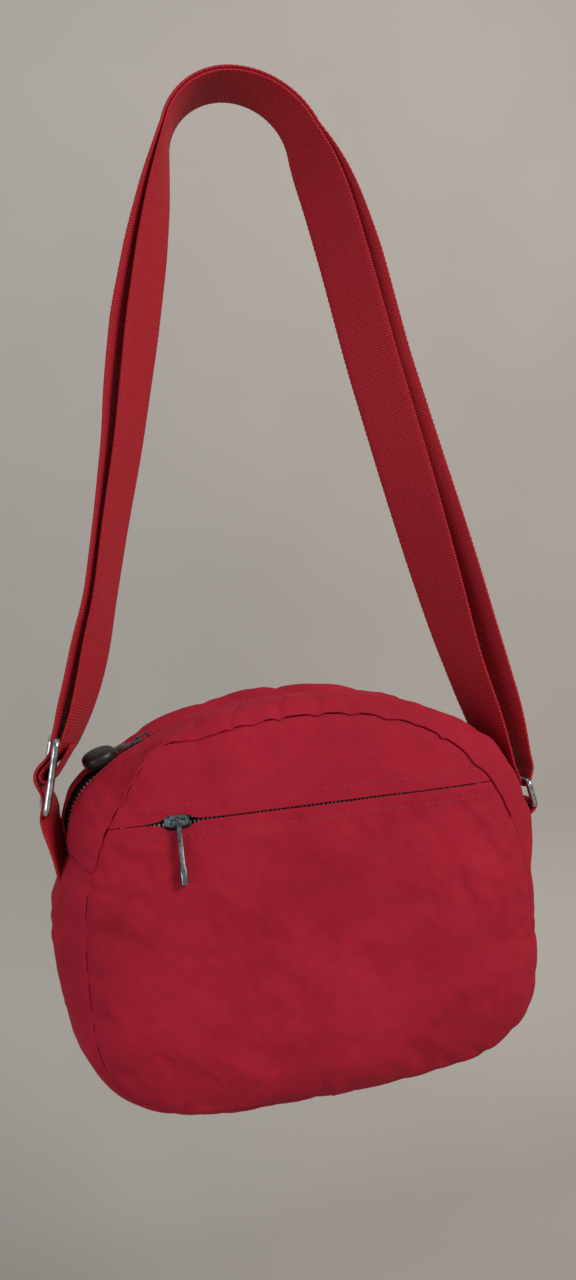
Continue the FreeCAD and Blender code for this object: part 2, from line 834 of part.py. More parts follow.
def side_ring():
    half_height = ring_bar_span / 2
    frame = wire_frame(ring_inner_width / 2 + wire_radius, half_height, wire_corner)
    frame.rotate(Vector(0, 0, 0), Vector(0, 1, 0), ring_lean)
    frame.translate((ring_low + ring_high) * 0.5)
    return frame


def ring_tab():
    second = tab_x + webbing + webbing_play
    path = [Vector(tab_x, 0, tab_bottom_z), Vector(tab_x, 0, tab_bottom_z + 2.5)]
    path.append(Vector((tab_x + ring_low.x - wrap_reach) / 2, 0, tab_top_z - 3))
    for turn in (170, 138, 106, 74, 42, 10):
        angle = math.radians(turn)
        path.append(ring_low + Vector(wrap_reach * math.cos(angle), 0, wrap_reach * math.sin(angle)))
    path += [Vector(ring_low.x + 1.6, 0, tab_top_z - 3.4), Vector(second + 0.5, 0, tab_bottom_z + 2.5)]
    path += [Vector(second, 0, tab_bottom_z)]
    return ribbon(path, steps=4)


fold_rise = 7.6
fold_gap = 1.2
fold_spread = 10.6
fold_inner = 2.9
strap_lean = 23.0


def fold_frame(out, up):
    turn = math.radians(strap_lean)
    along = Vector(-math.sin(turn), 0, math.cos(turn))
    outwards = Vector(math.cos(turn), 0, math.sin(turn))
    return ring_high + along * up + outwards * out


# The fold opens like an egg: round the bar at its foot and wide at the top
def ring_fold():
    far = fold_spread - fold_inner
    path = [(-fold_inner, fold_rise), (-wrap_reach, 4.0)]
    for turn in (180, 215, 250, 280, 310):
        angle = math.radians(turn)
        path.append((wrap_reach * math.cos(angle), wrap_reach * math.sin(angle)))
    path += [(wrap_reach + 0.9, 0.2), (far - 1.3, fold_rise - 4.6), (far, fold_rise)]
    return ribbon([fold_frame(out, up) for out, up in path], steps=4)


right_low = fold_frame(-fold_inner, fold_rise + fold_gap)
right_spread = fold_spread


pocket_angle_low = angle_at_height(pocket_zip_z - welt_width - 0.1)
pocket_angle_high = angle_at_height(pocket_zip_z + welt_width + 0.1)
left_end = {"end": left_low, "flare_z": left_flare_z, "end_spread": left_spread}
right_end = {"end": right_low, "flare_z": right_flare_z, "end_spread": right_spread}

parts = {
    "front_panel_lower": puffed_panel(
        pocket_angle_low, 360 - pocket_angle_low, 20, widest_z - front_crest_drop, -half_depth, front_puff),
    "front_panel_upper": puffed_panel(
        -pocket_angle_high, pocket_angle_high, 12, pocket_zip_z + upper_crest_rise, -half_depth, upper_puff),
    "back_panel": puffed_panel(0, 360, outline_points, widest_z + back_crest_rise, half_depth, back_puff),
    "gusset": band(0.0, fabric, half_depth - seam_gap, 0.15),
    "top_strip_front": top_strip(-1),
    "top_strip_rear": top_strip(1),
    "main_zip_tape_front": main_tape(-row_outer - tape_width, -row_outer - 0.05),
    "main_zip_tape_rear": main_tape(row_outer + 0.05, row_outer + tape_width),
    "main_zip_teeth_front": main_teeth(-1),
    "main_zip_teeth_rear": main_teeth(1),
    "main_zip_stops": main_stops(),
    "main_slider": main_slider(),
    "main_pull_link": main_pull_link(),
    "main_pull_disc": main_pull_disc(),
    "pocket_welt_upper": pocket_welt(1),
    "pocket_welt_lower": pocket_welt(-1),
    "pocket_zip_tapes": pocket_tapes(),
    "pocket_zip_teeth": pocket_teeth(),
    "pocket_zip_stops": pocket_stops(),
    "pocket_slider": pocket_slider(),
    "pocket_pull": pocket_pull(),
    "pocket_lining": flat_sheet(-half_depth + pocket_depth, lining, fabric + 0.8),
    "back_lining": flat_sheet(half_depth - 0.3 - lining, lining, fabric + 0.8),
    "gusset_lining": band(fabric + 0.3, lining, half_depth - 5.0, 1.0),
    "slip_pocket": slip_pocket(half_depth - 0.6 - 2 * lining),
    "seam_binding_front": seam_binding(-half_depth + pocket_depth + lining + 0.3, 6.0),
    "seam_binding_back": seam_binding(half_depth - 1.2 - lining - 6.0, 6.0),
    "strap_grip_inner": grip_arc(inner_reach),
    "strap_grip_outer": grip_arc(outer_reach),
    "strap_left_inner": webbing_run(-1, twist=left_twist, power=0.8, spread=0.0, **left_end),
    "strap_left_outer": webbing_run(-1, twist=left_twist, power=0.8, spread=1.0, **left_end),
    "strap_right_inner": webbing_run(1, twist=right_twist, power=1.2, spread=0.0, **right_end),
    "strap_right_outer": webbing_run(1, twist=right_twist, power=1.2, spread=1.0, **right_end),
    "strap_adjuster_pass": adjuster_pass(),
    "strap_sewn_end": sewn_end(),
    "anchor_webbing": anchor_webbing(),
    "adjuster_frame": adjuster_frame(),
    "side_ring": side_ring(),
    "ring_tab": ring_tab(),
    "strap_ring_fold": ring_fold(),
}

for name, shape in parts.items():
    if not shape.isValid():
        print("not valid:", name)
    export(name, shape)
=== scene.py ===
import random
from math import asin, atan, atan2, cos, pi, radians, sin, tan

import bpy
import numpy as np
from mathutils import Matrix, Vector, noise


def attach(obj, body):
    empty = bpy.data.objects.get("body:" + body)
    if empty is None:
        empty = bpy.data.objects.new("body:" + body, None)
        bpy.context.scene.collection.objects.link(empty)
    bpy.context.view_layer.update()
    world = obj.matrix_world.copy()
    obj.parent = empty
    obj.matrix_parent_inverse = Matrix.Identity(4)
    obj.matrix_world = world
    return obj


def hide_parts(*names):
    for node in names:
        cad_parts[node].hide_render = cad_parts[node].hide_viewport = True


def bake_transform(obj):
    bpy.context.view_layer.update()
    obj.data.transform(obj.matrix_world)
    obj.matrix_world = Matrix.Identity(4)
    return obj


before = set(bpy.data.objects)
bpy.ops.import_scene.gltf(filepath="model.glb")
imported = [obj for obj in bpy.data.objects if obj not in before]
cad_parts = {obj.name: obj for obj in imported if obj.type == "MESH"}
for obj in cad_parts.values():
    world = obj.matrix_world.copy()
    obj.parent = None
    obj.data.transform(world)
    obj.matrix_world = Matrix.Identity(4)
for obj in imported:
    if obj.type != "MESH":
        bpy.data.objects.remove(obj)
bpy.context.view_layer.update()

MM = 0.001

# The bag's own sizes, in millimetres, as the solids have them
SEAM_HALF_WIDTH = 115.0
SEAM_ABOVE = 107.3
SEAM_BELOW = 81.6
CROWN_POWER = 2.35
BASE_POWER = 4.0
WIDEST_Z = -451.0
HALF_DEPTH = 32.5
HUB_Z = -480.0
ZIP_RADIUS = 195.0
ZIP_CENTRE_Z = -531.5
SHOULDER_X = 102.6
SHOULDER_RADIUS = 33.0
ZIP_END = 56.5
ZIP_HEM_EDGE = 5.4
FABRIC = 1.6
BASE_BULGE = 4.0
SIDE_BULGE = 4.0
BULGE_END = 112.0
POCKET_Z = -388.0
SLIT_LEFT = -84
SLIT_RIGHT = 91
POCKET_SLIDER_X = -66.5
WEBBING_WIDTH = 30.0
WEBBING = 1.6
GRIP_RADIUS = 36.0
GRIP_GAP = 0.4
WIRE_RADIUS = 1.8


# Small helpers

def pick(piece):
    """Selects one piece alone and makes it the active one."""
    bpy.ops.object.select_all(action="DESELECT")
    bpy.context.view_layer.objects.active = piece
    piece.select_set(True)


def joined(pieces):
    """The pieces made one, which the first of them becomes."""
    pick(pieces[0])
    for piece in pieces:
        piece.select_set(True)
    bpy.ops.object.join()
    return pieces[0]


def edit_all(piece):
    """Opens one piece in edit mode with everything in it selected."""
    pick(piece)
    bpy.ops.object.mode_set(mode="EDIT")
    bpy.ops.mesh.select_all(action="SELECT")


def close_outward():
    """Faces what is selected outwards and leaves edit mode."""
    bpy.ops.mesh.normals_make_consistent(inside=False)
    bpy.ops.object.mode_set(mode="OBJECT")


def coordinates(mesh):
    """The places of a mesh's vertices, one row each."""
    flat = np.zeros(len(mesh.vertices) * 3)
    mesh.vertices.foreach_get("co", flat)
    return flat.reshape(-1, 3)


def grid_piece(name, across, along, place):
    """A flat grid shaped by place(u, v), which gives millimetres for u and v from 0 to 1."""
    bpy.ops.mesh.primitive_grid_add(x_subdivisions=across, y_subdivisions=along, size=2)
    piece = bpy.context.object
    piece.name = name
    flat = coordinates(piece.data)
    placed = place((flat[:, 0] + 1) / 2, (flat[:, 1] + 1) / 2)
    piece.data.vertices.foreach_set("co", (placed * MM).ravel())
    piece.data.update()
    return piece


def apply_modifier(piece, kind, **settings):
    pick(piece)
    modifier = piece.modifiers.new(kind.title(), kind)
    for key, value in settings.items():
        setattr(modifier, key, value)
    bpy.ops.object.modifier_apply(modifier=modifier.name)


def bevel(piece, width, segments, angle=30):
    """Rounds the edges that turn by more than the angle, in the mesh's own unit."""
    apply_modifier(piece, "BEVEL", width=width, segments=segments, limit_method="ANGLE", angle_limit=radians(angle))


def new_object(name, data):
    made = bpy.data.objects.new(name, data)
    bpy.context.scene.collection.objects.link(made)
    return made


def smooth(piece, angle=40):
    pick(piece)
    bpy.ops.object.shade_smooth_by_angle(angle=radians(angle))


def settle(piece, body, material, nodes=()):
    piece.data.materials.clear()
    piece.data.materials.append(material)
    if nodes:
        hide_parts(*nodes)
    if body:
        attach(piece, body)
    return piece


def hump(value, centre, width, power=2):
    """1 at the centre, falling away smoothly over the width."""
    return np.exp(-((value - centre) / width) ** power)


def xyz(x, y, z):
    return np.stack(np.broadcast_arrays(x, y, z), axis=-1)


def lengths_along(points):
    """How far along the line through them each point lies."""
    return np.concatenate([[0], np.cumsum(np.linalg.norm(np.diff(points, axis=0), axis=1))])


def blurred(values, count, spread, **ends):
    """Values smoothed over count neighbours; ends says how they go on past the first and the last."""
    bell = np.exp(-np.linspace(-spread, spread, count) ** 2)
    return np.convolve(np.pad(values, count // 2, **ends), bell / bell.sum(), mode="valid")


# Colours and node helpers

def srgb(text):
    channels = [int(text[i:i + 2], 16) / 255 for i in (1, 3, 5)]
    return [c / 12.92 if c <= 0.04045 else ((c + 0.055) / 1.055) ** 2.4 for c in channels] + [1]


def output(source):
    """A node's first output, or the socket itself."""
    return source.outputs[0] if isinstance(source, bpy.types.Node) else source


def node(tree, kind, links=None, **settings):
    """Adds a node, sets its properties, its sockets (in_...) or its colour stops, and links its inputs."""
    made = tree.nodes.new("ShaderNode" + kind)
    for key, value in settings.items():
        if key == "stops":
            elements = made.color_ramp.elements
            while len(elements) < len(value):
                elements.new(0.5)
            for element, (place, colour) in zip(elements, value):
                element.position = place
                element.color = srgb(colour)
        elif key.startswith("in_"):
            wanted = key[3:]
            socket = made.inputs[int(wanted)] if wanted.isdigit() else made.inputs[wanted.replace("_", " ")]
            socket.default_value = value
        else:
            setattr(made, key, value)
    for key, source in (links or {}).items():
        tree.links.new(output(source), made.inputs[key])
    return made


def new_material(name, space="Object"):
    """A material, its node tree and the coordinates that its patterns use."""
    material = bpy.data.materials.new(name)
    material.use_nodes = True
    tree = material.node_tree
    return material, tree, node(tree, "TexCoord").outputs[space]


def surface(material, **wanted):
    """Sets or links the shader's inputs, named with _ for a space, and gives the material back."""
    tree = material.node_tree
    shader = tree.nodes["Principled BSDF"]
    for key, value in wanted.items():
        socket = shader.inputs[key.replace("_", " ")]
        if isinstance(value, (bpy.types.Node, bpy.types.NodeSocket)):
            tree.links.new(output(value), socket)
        else:
            socket.default_value = value
    return material


# A wave texture repeats every metre at this scale
METRE_BANDS = 0.314


# Washed crinkle nylon: a fine plain weave with a dry, slightly chalky face.
# The washing leaves soft cloudy patches of tone and a fine uneven crinkle.
def crinkle_nylon(name, mid, deep, pale):
    material, tree, place = new_material(name)
    clouds = node(tree, "TexNoise", {"Vector": place}, in_Scale=1 / 0.045, in_Detail=5.0, in_Roughness=0.55)
    colour = node(tree, "ValToRGB", {"Fac": clouds}, stops=[(0.28, deep), (0.5, mid), (0.74, pale)])
    crinkle = node(tree, "TexNoise", {"Vector": place}, in_Scale=1 / 0.0045, in_Detail=4.0, in_Roughness=0.6)
    threads = [node(tree, "TexWave", {"Vector": place}, bands_direction=way, in_Scale=METRE_BANDS / 0.0009)
               for way in ("X", "Z")]
    weave = node(tree, "Math", {0: threads[0].outputs["Fac"], 1: threads[1].outputs["Fac"]},
                 operation="MULTIPLY")
    tone = node(tree, "Mix", {"Factor": crinkle, 6: colour}, data_type="RGBA", blend_type="MULTIPLY",
                in_7=(0.80, 0.76, 0.78, 1))
    fine = node(tree, "Bump", {"Height": weave}, in_Strength=0.25, in_Distance=0.00012)
    coarse = node(tree, "Bump", {"Height": crinkle, "Normal": fine}, in_Strength=0.55, in_Distance=0.0005)
    return surface(material, Base_Color=tone.outputs[2], Normal=coarse, Roughness=0.82, Sheen_Weight=0.08,
                   Sheen_Roughness=0.5, Sheen_Tint=srgb("#E04858"), Specular_IOR_Level=0.15)


# Polyester webbing: heavy cross ribs between bundled cords that run along it, in millimetres
RIB_SPACING = 1.5
CORD_WIDTH = 1.1


def ribbed_webbing(name, mid, deep):
    material, tree, place = new_material(name, "UV")
    split = node(tree, "SeparateXYZ", {"Vector": place})
    lean = node(tree, "Math", {0: split}, operation="MULTIPLY", in_1=pi / CORD_WIDTH)
    step = node(tree, "Math", {0: split.outputs["Y"]}, operation="MULTIPLY", in_1=2 * pi / RIB_SPACING)
    cord = node(tree, "Math", {0: lean}, operation="SINE")
    sign = node(tree, "Math", {0: cord}, operation="SIGN")
    shift = node(tree, "Math", {0: sign}, operation="MULTIPLY", in_1=pi / 4)
    phase = node(tree, "Math", {0: step, 1: shift}, operation="ADD")
    rib = node(tree, "Math", {0: phase}, operation="SINE")
    groove = node(tree, "Math", {0: cord}, operation="ABSOLUTE")
    height = node(tree, "Math", {0: rib, 1: groove}, operation="MULTIPLY")
    fuzz = node(tree, "TexNoise", {"Vector": place}, in_Scale=0.9, in_Detail=4.0)
    share = node(tree, "MapRange", {"Value": height}, in_From_Min=-1)
    # Painted shade: the colour darkens in the grooves between ribs and cords, where the bump is lowest, mixed with
    # random fuzz
    groove_shade_and_fuzz = node(tree, "Math", {0: share, 1: fuzz}, operation="MULTIPLY")
    colour = node(tree, "ValToRGB", {"Fac": groove_shade_and_fuzz}, stops=[(0.05, deep), (0.35, mid), (0.62, mid)])
    bump = node(tree, "Bump", {"Height": share}, in_Strength=0.8, in_Distance=0.00035)
    return surface(material, Base_Color=colour, Normal=bump, Roughness=0.62, Sheen_Weight=0.08,
                   Sheen_Roughness=0.45, Sheen_Tint=srgb("#E84858"), Specular_IOR_Level=0.2)


# Zip tape: black herringbone polyester, matt with a little lint
def woven_tape(name):
    material, tree, place = new_material(name)
    wave = node(tree, "TexWave", {"Vector": place}, bands_direction="DIAGONAL", in_Scale=METRE_BANDS / 0.0008)
    lint = node(tree, "TexNoise", {"Vector": place}, in_Scale=1 / 0.003, in_Detail=3.0)
    colour = node(tree, "ValToRGB", {"Fac": lint}, stops=[(0.35, "#0E0E10"), (0.7, "#232326")])
    bump = node(tree, "Bump", {"Height": wave.outputs["Fac"]}, in_Strength=0.5, in_Distance=0.0002)
    return surface(material, Base_Color=colour, Normal=bump, Roughness=0.8)


# Nickel-plated zinc and steel: bright, with rubbed grey patches and fine scratches
def plated_metal(name, bright, worn, rough):
    material, tree, place = new_material(name)
    wear = node(tree, "TexNoise", {"Vector": place}, in_Scale=1 / 0.004, in_Detail=6.0, in_Roughness=0.65)
    colour = node(tree, "ValToRGB", {"Fac": wear}, stops=[(0.38, worn), (0.6, bright)])
    gloss = node(tree, "MapRange", {"Value": wear}, in_To_Min=rough + 0.18, in_To_Max=rough)
    bump = node(tree, "Bump", {"Height": wear}, in_Strength=0.2, in_Distance=0.0001)
    return surface(material, Base_Color=colour, Normal=bump, Roughness=gloss, Metallic=1.0)


# Moulded rubber: black, matt, with a fine spark-eroded grain
def moulded_rubber(name):
    material, tree, place = new_material(name)
    grain = node(tree, "TexNoise", {"Vector": place}, in_Scale=1 / 0.0006, in_Detail=3.0)
    dust = node(tree, "TexNoise", {"Vector": place}, in_Scale=1 / 0.006, in_Detail=4.0)
    colour = node(tree, "ValToRGB", {"Fac": dust}, stops=[(0.4, "#0E0E10"), (0.75, "#1E1E20")])
    bump = node(tree, "Bump", {"Height": grain}, in_Strength=0.4, in_Distance=0.0001)
    return surface(material, Base_Color=colour, Normal=bump, Roughness=0.42)


# Sewing thread: three-ply polyester, a tone lighter than the cloth
def sewing_thread(name, mid, deep):
    material, tree, place = new_material(name)
    ply = node(tree, "TexWave", {"Vector": place}, bands_direction="DIAGONAL", in_Scale=METRE_BANDS / 0.0005)
    # Painted shade: the colour darkens in the grooves between the plies, where the bump is lowest
    colour = node(tree, "ValToRGB", {"Fac": ply.outputs["Fac"]}, stops=[(0.2, deep), (0.7, mid)])
    bump = node(tree, "Bump", {"Height": ply.outputs["Fac"]}, in_Strength=0.5, in_Distance=0.0001)
    return surface(material, Base_Color=colour, Normal=bump, Roughness=0.55)


NYLON = crinkle_nylon("washed_crinkle_nylon", "#A31A30", "#96172B", "#AB2036")
LINING = crinkle_nylon("nylon_lining", "#6E1420", "#5C0F19", "#7C1B28")
# The webbing's second colour is the painted shade in its grooves
WEB = ribbed_webbing("ribbed_polyester_webbing", "#B41829", "#660C17")
TAPE = woven_tape("woven_zip_tape")
BINDING = woven_tape("woven_seam_binding")
TEETH = plated_metal("nickel_zip_teeth", "#E2E2E0", "#B4B4B2", 0.42)
STEEL = plated_metal("nickel_plated_steel", "#C6CACD", "#7E868C", 0.16)
ZINC = plated_metal("antique_nickel_zinc", "#8FA0A6", "#4E5A60", 0.26)
GUNMETAL = plated_metal("black_nickel_zinc", "#6C6C6A", "#3A3B3C", 0.3)
RUBBER = moulded_rubber("moulded_rubber")
# The thread's second colour is the painted shade between its plies
THREAD = sewing_thread("polyester_thread", "#B42C3C", "#861523")


# The seam outline, measured by angle from a hub below the widest line

def seam_level(x, z):
    rise = z - WIDEST_Z
    power = np.where(rise > 0, CROWN_POWER, BASE_POWER)
    reach = np.where(rise > 0, SEAM_ABOVE, SEAM_BELOW)
    return ((np.abs(x) / SEAM_HALF_WIDTH) ** power + (np.abs(rise) / reach) ** power) ** (1 / power)


def seam_reach(angle):
    turn = np.radians(angle)
    low = np.zeros_like(turn)
    high = np.full_like(turn, 230.0)
    for _ in range(40):
        middle = (low + high) / 2
        outside = seam_level(middle * np.sin(turn), HUB_Z + middle * np.cos(turn)) > 1
        high = np.where(outside, middle, high)
        low = np.where(outside, low, middle)
    return low


def radial(angle, y, reach):
    turn = np.radians(angle)
    return xyz(reach * np.sin(turn), y, HUB_Z + reach * np.cos(turn))


# The zip's path: a shallow arc that turns down at both shoulders
CROWN_TURN = asin(SHOULDER_X / ZIP_RADIUS)
CROWN_LENGTH = ZIP_RADIUS * CROWN_TURN
BEND_X = SHOULDER_X - SHOULDER_RADIUS * sin(CROWN_TURN)
BEND_Z = ZIP_CENTRE_Z + (ZIP_RADIUS - SHOULDER_RADIUS) * cos(CROWN_TURN)


def signed(angle):
    return np.where(angle > 180, angle - 360, angle)


def zip_reach(angle):
    turn = np.radians(np.abs(signed(angle)))
    rise = HUB_Z - ZIP_CENTRE_Z
    crown = np.sqrt(ZIP_RADIUS ** 2 - (rise * np.sin(turn)) ** 2) - rise * np.cos(turn)
    up = BEND_Z - HUB_Z
    along = BEND_X * np.sin(turn) + up * np.cos(turn)
    bend = along + np.sqrt(np.maximum(along ** 2 - BEND_X ** 2 - up ** 2 + SHOULDER_RADIUS ** 2, 0))
    split = atan2(SHOULDER_X, ZIP_RADIUS * cos(CROWN_TURN) - rise)
    return np.where(turn < split, crown, bend)


_end = radial(np.array([ZIP_END]), np.zeros(1), zip_reach(np.array([ZIP_END])))[0]
ZIP_LENGTH = CROWN_LENGTH + SHOULDER_RADIUS * (atan2(_end[0] - BEND_X, _end[2] - BEND_Z) - CROWN_TURN)


def zip_turn(length):
    """Whether each length is past the crown, and how far the zip has turned there."""
    far = np.abs(length) > CROWN_LENGTH
    turn = np.where(far, CROWN_TURN + (np.abs(length) - CROWN_LENGTH) / SHOULDER_RADIUS, np.abs(length) / ZIP_RADIUS)
    return far, turn * np.sign(length)


def zip_lean(length):
    """How steeply the zip tips towards the front at the left shoulder, past the slider's reach."""
    past = np.clip((-length - 91) / 24, 0, 1) * np.clip((ZIP_LENGTH + length) / 16, 0, 1)
    return 0.42 * past * past * (3 - 2 * past)


def along_zip(length, y, out):
    far, turn = zip_turn(length)
    reach = np.where(far, SHOULDER_RADIUS, ZIP_RADIUS) + out + y * zip_lean(length)
    x = np.where(far, BEND_X, 0) * np.sign(length) + reach * np.sin(turn)
    z = np.where(far, BEND_Z, ZIP_CENTRE_Z) + reach * np.cos(turn)
    return xyz(x, y, z)


def zip_length_at(angle):
    spot = radial(angle, 0 * angle, zip_reach(angle))
    crown = ZIP_RADIUS * np.arctan2(spot[:, 0], spot[:, 2] - ZIP_CENTRE_Z)
    turn = np.arctan2(np.abs(spot[:, 0]) - BEND_X, spot[:, 2] - BEND_Z)
    bend = (CROWN_LENGTH + SHOULDER_RADIUS * (turn - CROWN_TURN)) * np.sign(spot[:, 0])
    return np.where(np.abs(crown) > CROWN_LENGTH, bend, crown)


# Length along the seam at each angle, for puckers that both sides of a seam share
SEAM_ANGLES = np.linspace(-180, 180, 1441)
SEAM_LENGTHS = lengths_along(radial(SEAM_ANGLES, 0 * SEAM_ANGLES, seam_reach(SEAM_ANGLES)))


def along_seam(angle):
    return np.interp(angle, SEAM_ANGLES, SEAM_LENGTHS)


def tucks(seed, spacing=13):
    """Small gathers that the stitching pulls into a seam: place, width, reach into the cloth, depth and lean."""
    draw = random.Random(seed)
    made = []
    place = 0.0
    while place < SEAM_LENGTHS[-1]:
        made.append((place, draw.uniform(2.0, 5.0), draw.uniform(5, 20), draw.uniform(0.2, 1.3),
                     draw.uniform(-0.5, 0.5)))
        place += draw.uniform(0.45, 1.6) * spacing
    return made


def pucker(made, length, depth_in):
    total = np.zeros_like(length)
    for place, width, reach, depth, lean in made:
        away = length - place - lean * depth_in
        spread = width * (1 + depth_in / 14)
        total -= depth * np.exp(-(away / spread) ** 2) * np.exp(-depth_in / reach)
    return total + 0.35 * np.exp(-depth_in / 9)


def seam_roll(depth_in, height, reach):
    """The cloth turns down sharply into the seam and swells a little beside it."""
    return height * (1 - np.exp(-depth_in / 2.4)) * np.exp(-depth_in / reach)


def rolling(points, scale, seed):
    """Soft uneven waves, about 1 at their highest, from points in millimetres."""
    offset = Vector((seed * 17.3, seed * 5.1, seed * 9.7))
    return np.array([noise.noise(Vector(p) / scale + offset) + 0.45 * noise.noise(Vector(p) / (scale * 0.42) - offset)
                     for p in points])


FRONT_TUCKS = tucks(4)
BACK_TUCKS = tucks(11)


# Front and back: one puffed surface each, as deep as the solids at its middle

def plump(level, share):
    return 1 - np.clip(1 - (1 - level) / share, 0, 1) ** 2.6


def front_depth(x, z):
    level = seam_level(x, z)
    below = np.clip((POCKET_Z - 4 - z) / 46, 0, 1)
    rise = 4.6 + 5.0 * below * below * (3 - 2 * below)
    return rise * plump(level, 0.36)


# Dents that the photograph shows in the front: x, z, half-width, half-height, turn, depth
FRONT_DENTS = [
    (-38, -446, 26, 13, 20, 1.1), (-60, -468, 20, 12, -25, 1.3), (-30, -489, 30, 9, 10, 0.9),
    (10, -430, 40, 9, 8, 0.6), (74, -436, 7, 24, 18, 1.3), (92, -462, 5, 22, -14, 1.6), (84, -486, 9, 16, 30, 0.9),
    (-6, -509, 34, 7, -4, 0.8), (-84, -410, 14, 7, -28, 0.9), (44, -470, 26, 8, -16, 0.7),
    (-92, -500, 8, 18, -20, 1.0), (30, -365, 26, 6, -12, 0.5), (-28, -362, 22, 6, 24, 0.6),
    (60, -372, 10, 8, 30, 0.5)]


def dent(x, z, marks):
    total = np.zeros_like(x)
    for cx, cz, half_x, half_z, turn, depth in marks:
        a = radians(turn)
        dx = (x - cx) * cos(a) + (z - cz) * sin(a)
        dz = (z - cz) * cos(a) - (x - cx) * sin(a)
        total -= depth * np.exp(-(dx / half_x) ** 2 - (dz / half_z) ** 2)
    return total


def face_point(x, z, side, made, marks, seed, depth):
    level = seam_level(x, z)
    angle = np.degrees(np.arctan2(x, z - HUB_Z))
    depth_in = np.clip((1 - level) * 90, 0, None)
    inner = np.clip(depth_in / 14, 0, 1)
    flat = xyz(x, 0, z)
    wave = 0.9 * rolling(flat, 34, seed) * inner + 0.35 * rolling(flat, 13, seed + 3) * inner
    lift = depth + wave + dent(x, z, marks) + pucker(made, along_seam(angle), depth_in) + seam_roll(depth_in, 1.3, 30)
    return xyz(x, side * (HALF_DEPTH + lift), z)


def lip_gap(x):
    """Half the slit's width: nearly shut, and parted where the slider rests."""
    inside = np.clip(np.minimum(x - SLIT_LEFT, SLIT_RIGHT - x) / 5, 0, 1)
    parted = 2.7 * hump(x, POCKET_SLIDER_X, 7.5, 4) + 0.6 * hump(x, POCKET_SLIDER_X, 14)
    return 0.02 + inside * (0.2 + 0.14 * hump(x, 10, 30) + parted)


def patch(u, v, left, right, bottom, top):
    """A Coons patch over four boundary curves of (x, z), each running up or to the right."""
    l, r, b, t = left(v), right(v), bottom(u), top(u)
    u1, v1 = u[:, None], v[:, None]
    corner = ((1 - u1) * (1 - v1) * bottom(0 * u) + u1 * (1 - v1) * bottom(0 * u + 1)
              + (1 - u1) * v1 * top(0 * u) + u1 * v1 * top(0 * u + 1))
    return (1 - u1) * l + u1 * r + (1 - v1) * b + v1 * t - corner


def seam_run(first, last):
    """A stretch of the seam between two angles, evenly spaced by length; from + to - it crosses the base."""
    def run(t):
        start, end = along_seam(first), along_seam(last)
        if first > 0 > last:
            end = end + SEAM_LENGTHS[-1]
        angle = np.interp((start + (end - start) * t) % SEAM_LENGTHS[-1], SEAM_LENGTHS, SEAM_ANGLES)
        return radial(angle, 0 * angle, seam_reach(angle))[:, [0, 2]]
    return run


def reverse(run):
    return lambda t: run(1 - t)


# Angles at which the panels' grids have their corners
BASE_CORNER = 128.0
TOP_CORNER = 42.0
BASE_RUN = reverse(seam_run(BASE_CORNER, -BASE_CORNER))


def side_runs(top_angle):
    return [reverse(seam_run(side * top_angle, side * BASE_CORNER)) for side in (-1, 1)]


# Half the seam's width at the pocket's slit
POCKET_REACH = SEAM_HALF_WIDTH * (1 - ((POCKET_Z - WIDEST_Z) / SEAM_ABOVE) ** CROWN_POWER) ** (1 / CROWN_POWER)


def front_lower(u, v):
    angles = np.linspace(0, 179, 4000)
    heights = radial(angles, 0 * angles, seam_reach(angles))[:, 2]
    left, right = side_runs(float(np.interp(0.4 - POCKET_Z, -heights, angles)))

    def top(t):
        x = -POCKET_REACH * np.cos(pi * t) * 0.35 + (2 * t - 1) * POCKET_REACH * 0.65
        return np.stack([x, POCKET_Z - lip_gap(x)], axis=-1)
    x, z = patch(u, v, left, right, BASE_RUN, top).T
    return face_point(x, z, -1, FRONT_TUCKS, FRONT_DENTS, 1, front_depth(x, z))


def whole_panel(u, v):
    return patch(u, v, *side_runs(TOP_CORNER), BASE_RUN, seam_run(-TOP_CORNER, TOP_CORNER))


def pinch(x):
    """The front seam is pulled up into a soft corner where the slider rests."""
    return 8.5 * hump(x, -73, 15)


def front_upper(u, v):
    x = -POCKET_REACH * np.cos(pi * u) * 0.4 + (2 * u - 1) * POCKET_REACH * 0.6
    low = POCKET_Z + lip_gap(x)
    share = np.clip(1 - (np.abs(x) / SEAM_HALF_WIDTH) ** CROWN_POWER, 0, 1)
    high = WIDEST_Z + SEAM_ABOVE * share ** (1 / CROWN_POWER)
    high = np.maximum(high, low)
    z = low + (high - low) * v
    points = face_point(x, z, -1, FRONT_TUCKS, FRONT_DENTS, 1, front_depth(x, z))
    points[:, 2] += pinch(x) * v * v
    return points


BACK_DENTS = [(20, -420, 36, 10, 15, 0.8), (-50, -470, 24, 14, -30, 1.0), (60, -490, 18, 20, 20, 0.9)]


def back(u, v):
    x, z = whole_panel(u, v).T
    return face_point(x, z, 1, BACK_TUCKS, BACK_DENTS, 6, 7.6 * plump(seam_level(x, z), 0.4))


def sewn(name, across, along, place, *also, flip=False):
    """A piece of the shell with the cloth's thickness, in the place of its node and those in also."""
    piece = grid_piece(name, across, along, place)
    if flip:
        piece.data.flip_normals()
    apply_modifier(piece, "SOLIDIFY", thickness=1.2 * MM, offset=-1.0)
    bevel(piece, 0.35 * MM, 2, 50)
    smooth(piece, 55)
    return settle(piece, "bag", NYLON, [name, *also])


# The sewn cloth settles by simulation: a coarse copy of each surface, a little too large
# for the seams that hold its edges, relaxes, and the fine surface takes on its shifts

def table_weights(t, count):
    place = np.clip(t, 0, 1) * (count - 1)
    first = np.minimum(place.astype(int), count - 2)
    f = place - first
    near = np.clip(first[:, None] + np.arange(-1, 3), 0, count - 1)
    shares = [f * f - 0.5 * (f ** 3 + f), 1.5 * f ** 3 - 2.5 * f * f + 1,
              2 * f * f - 1.5 * f ** 3 + 0.5 * f, 0.5 * (f ** 3 - f * f)]
    return near, np.stack(shares, axis=1)


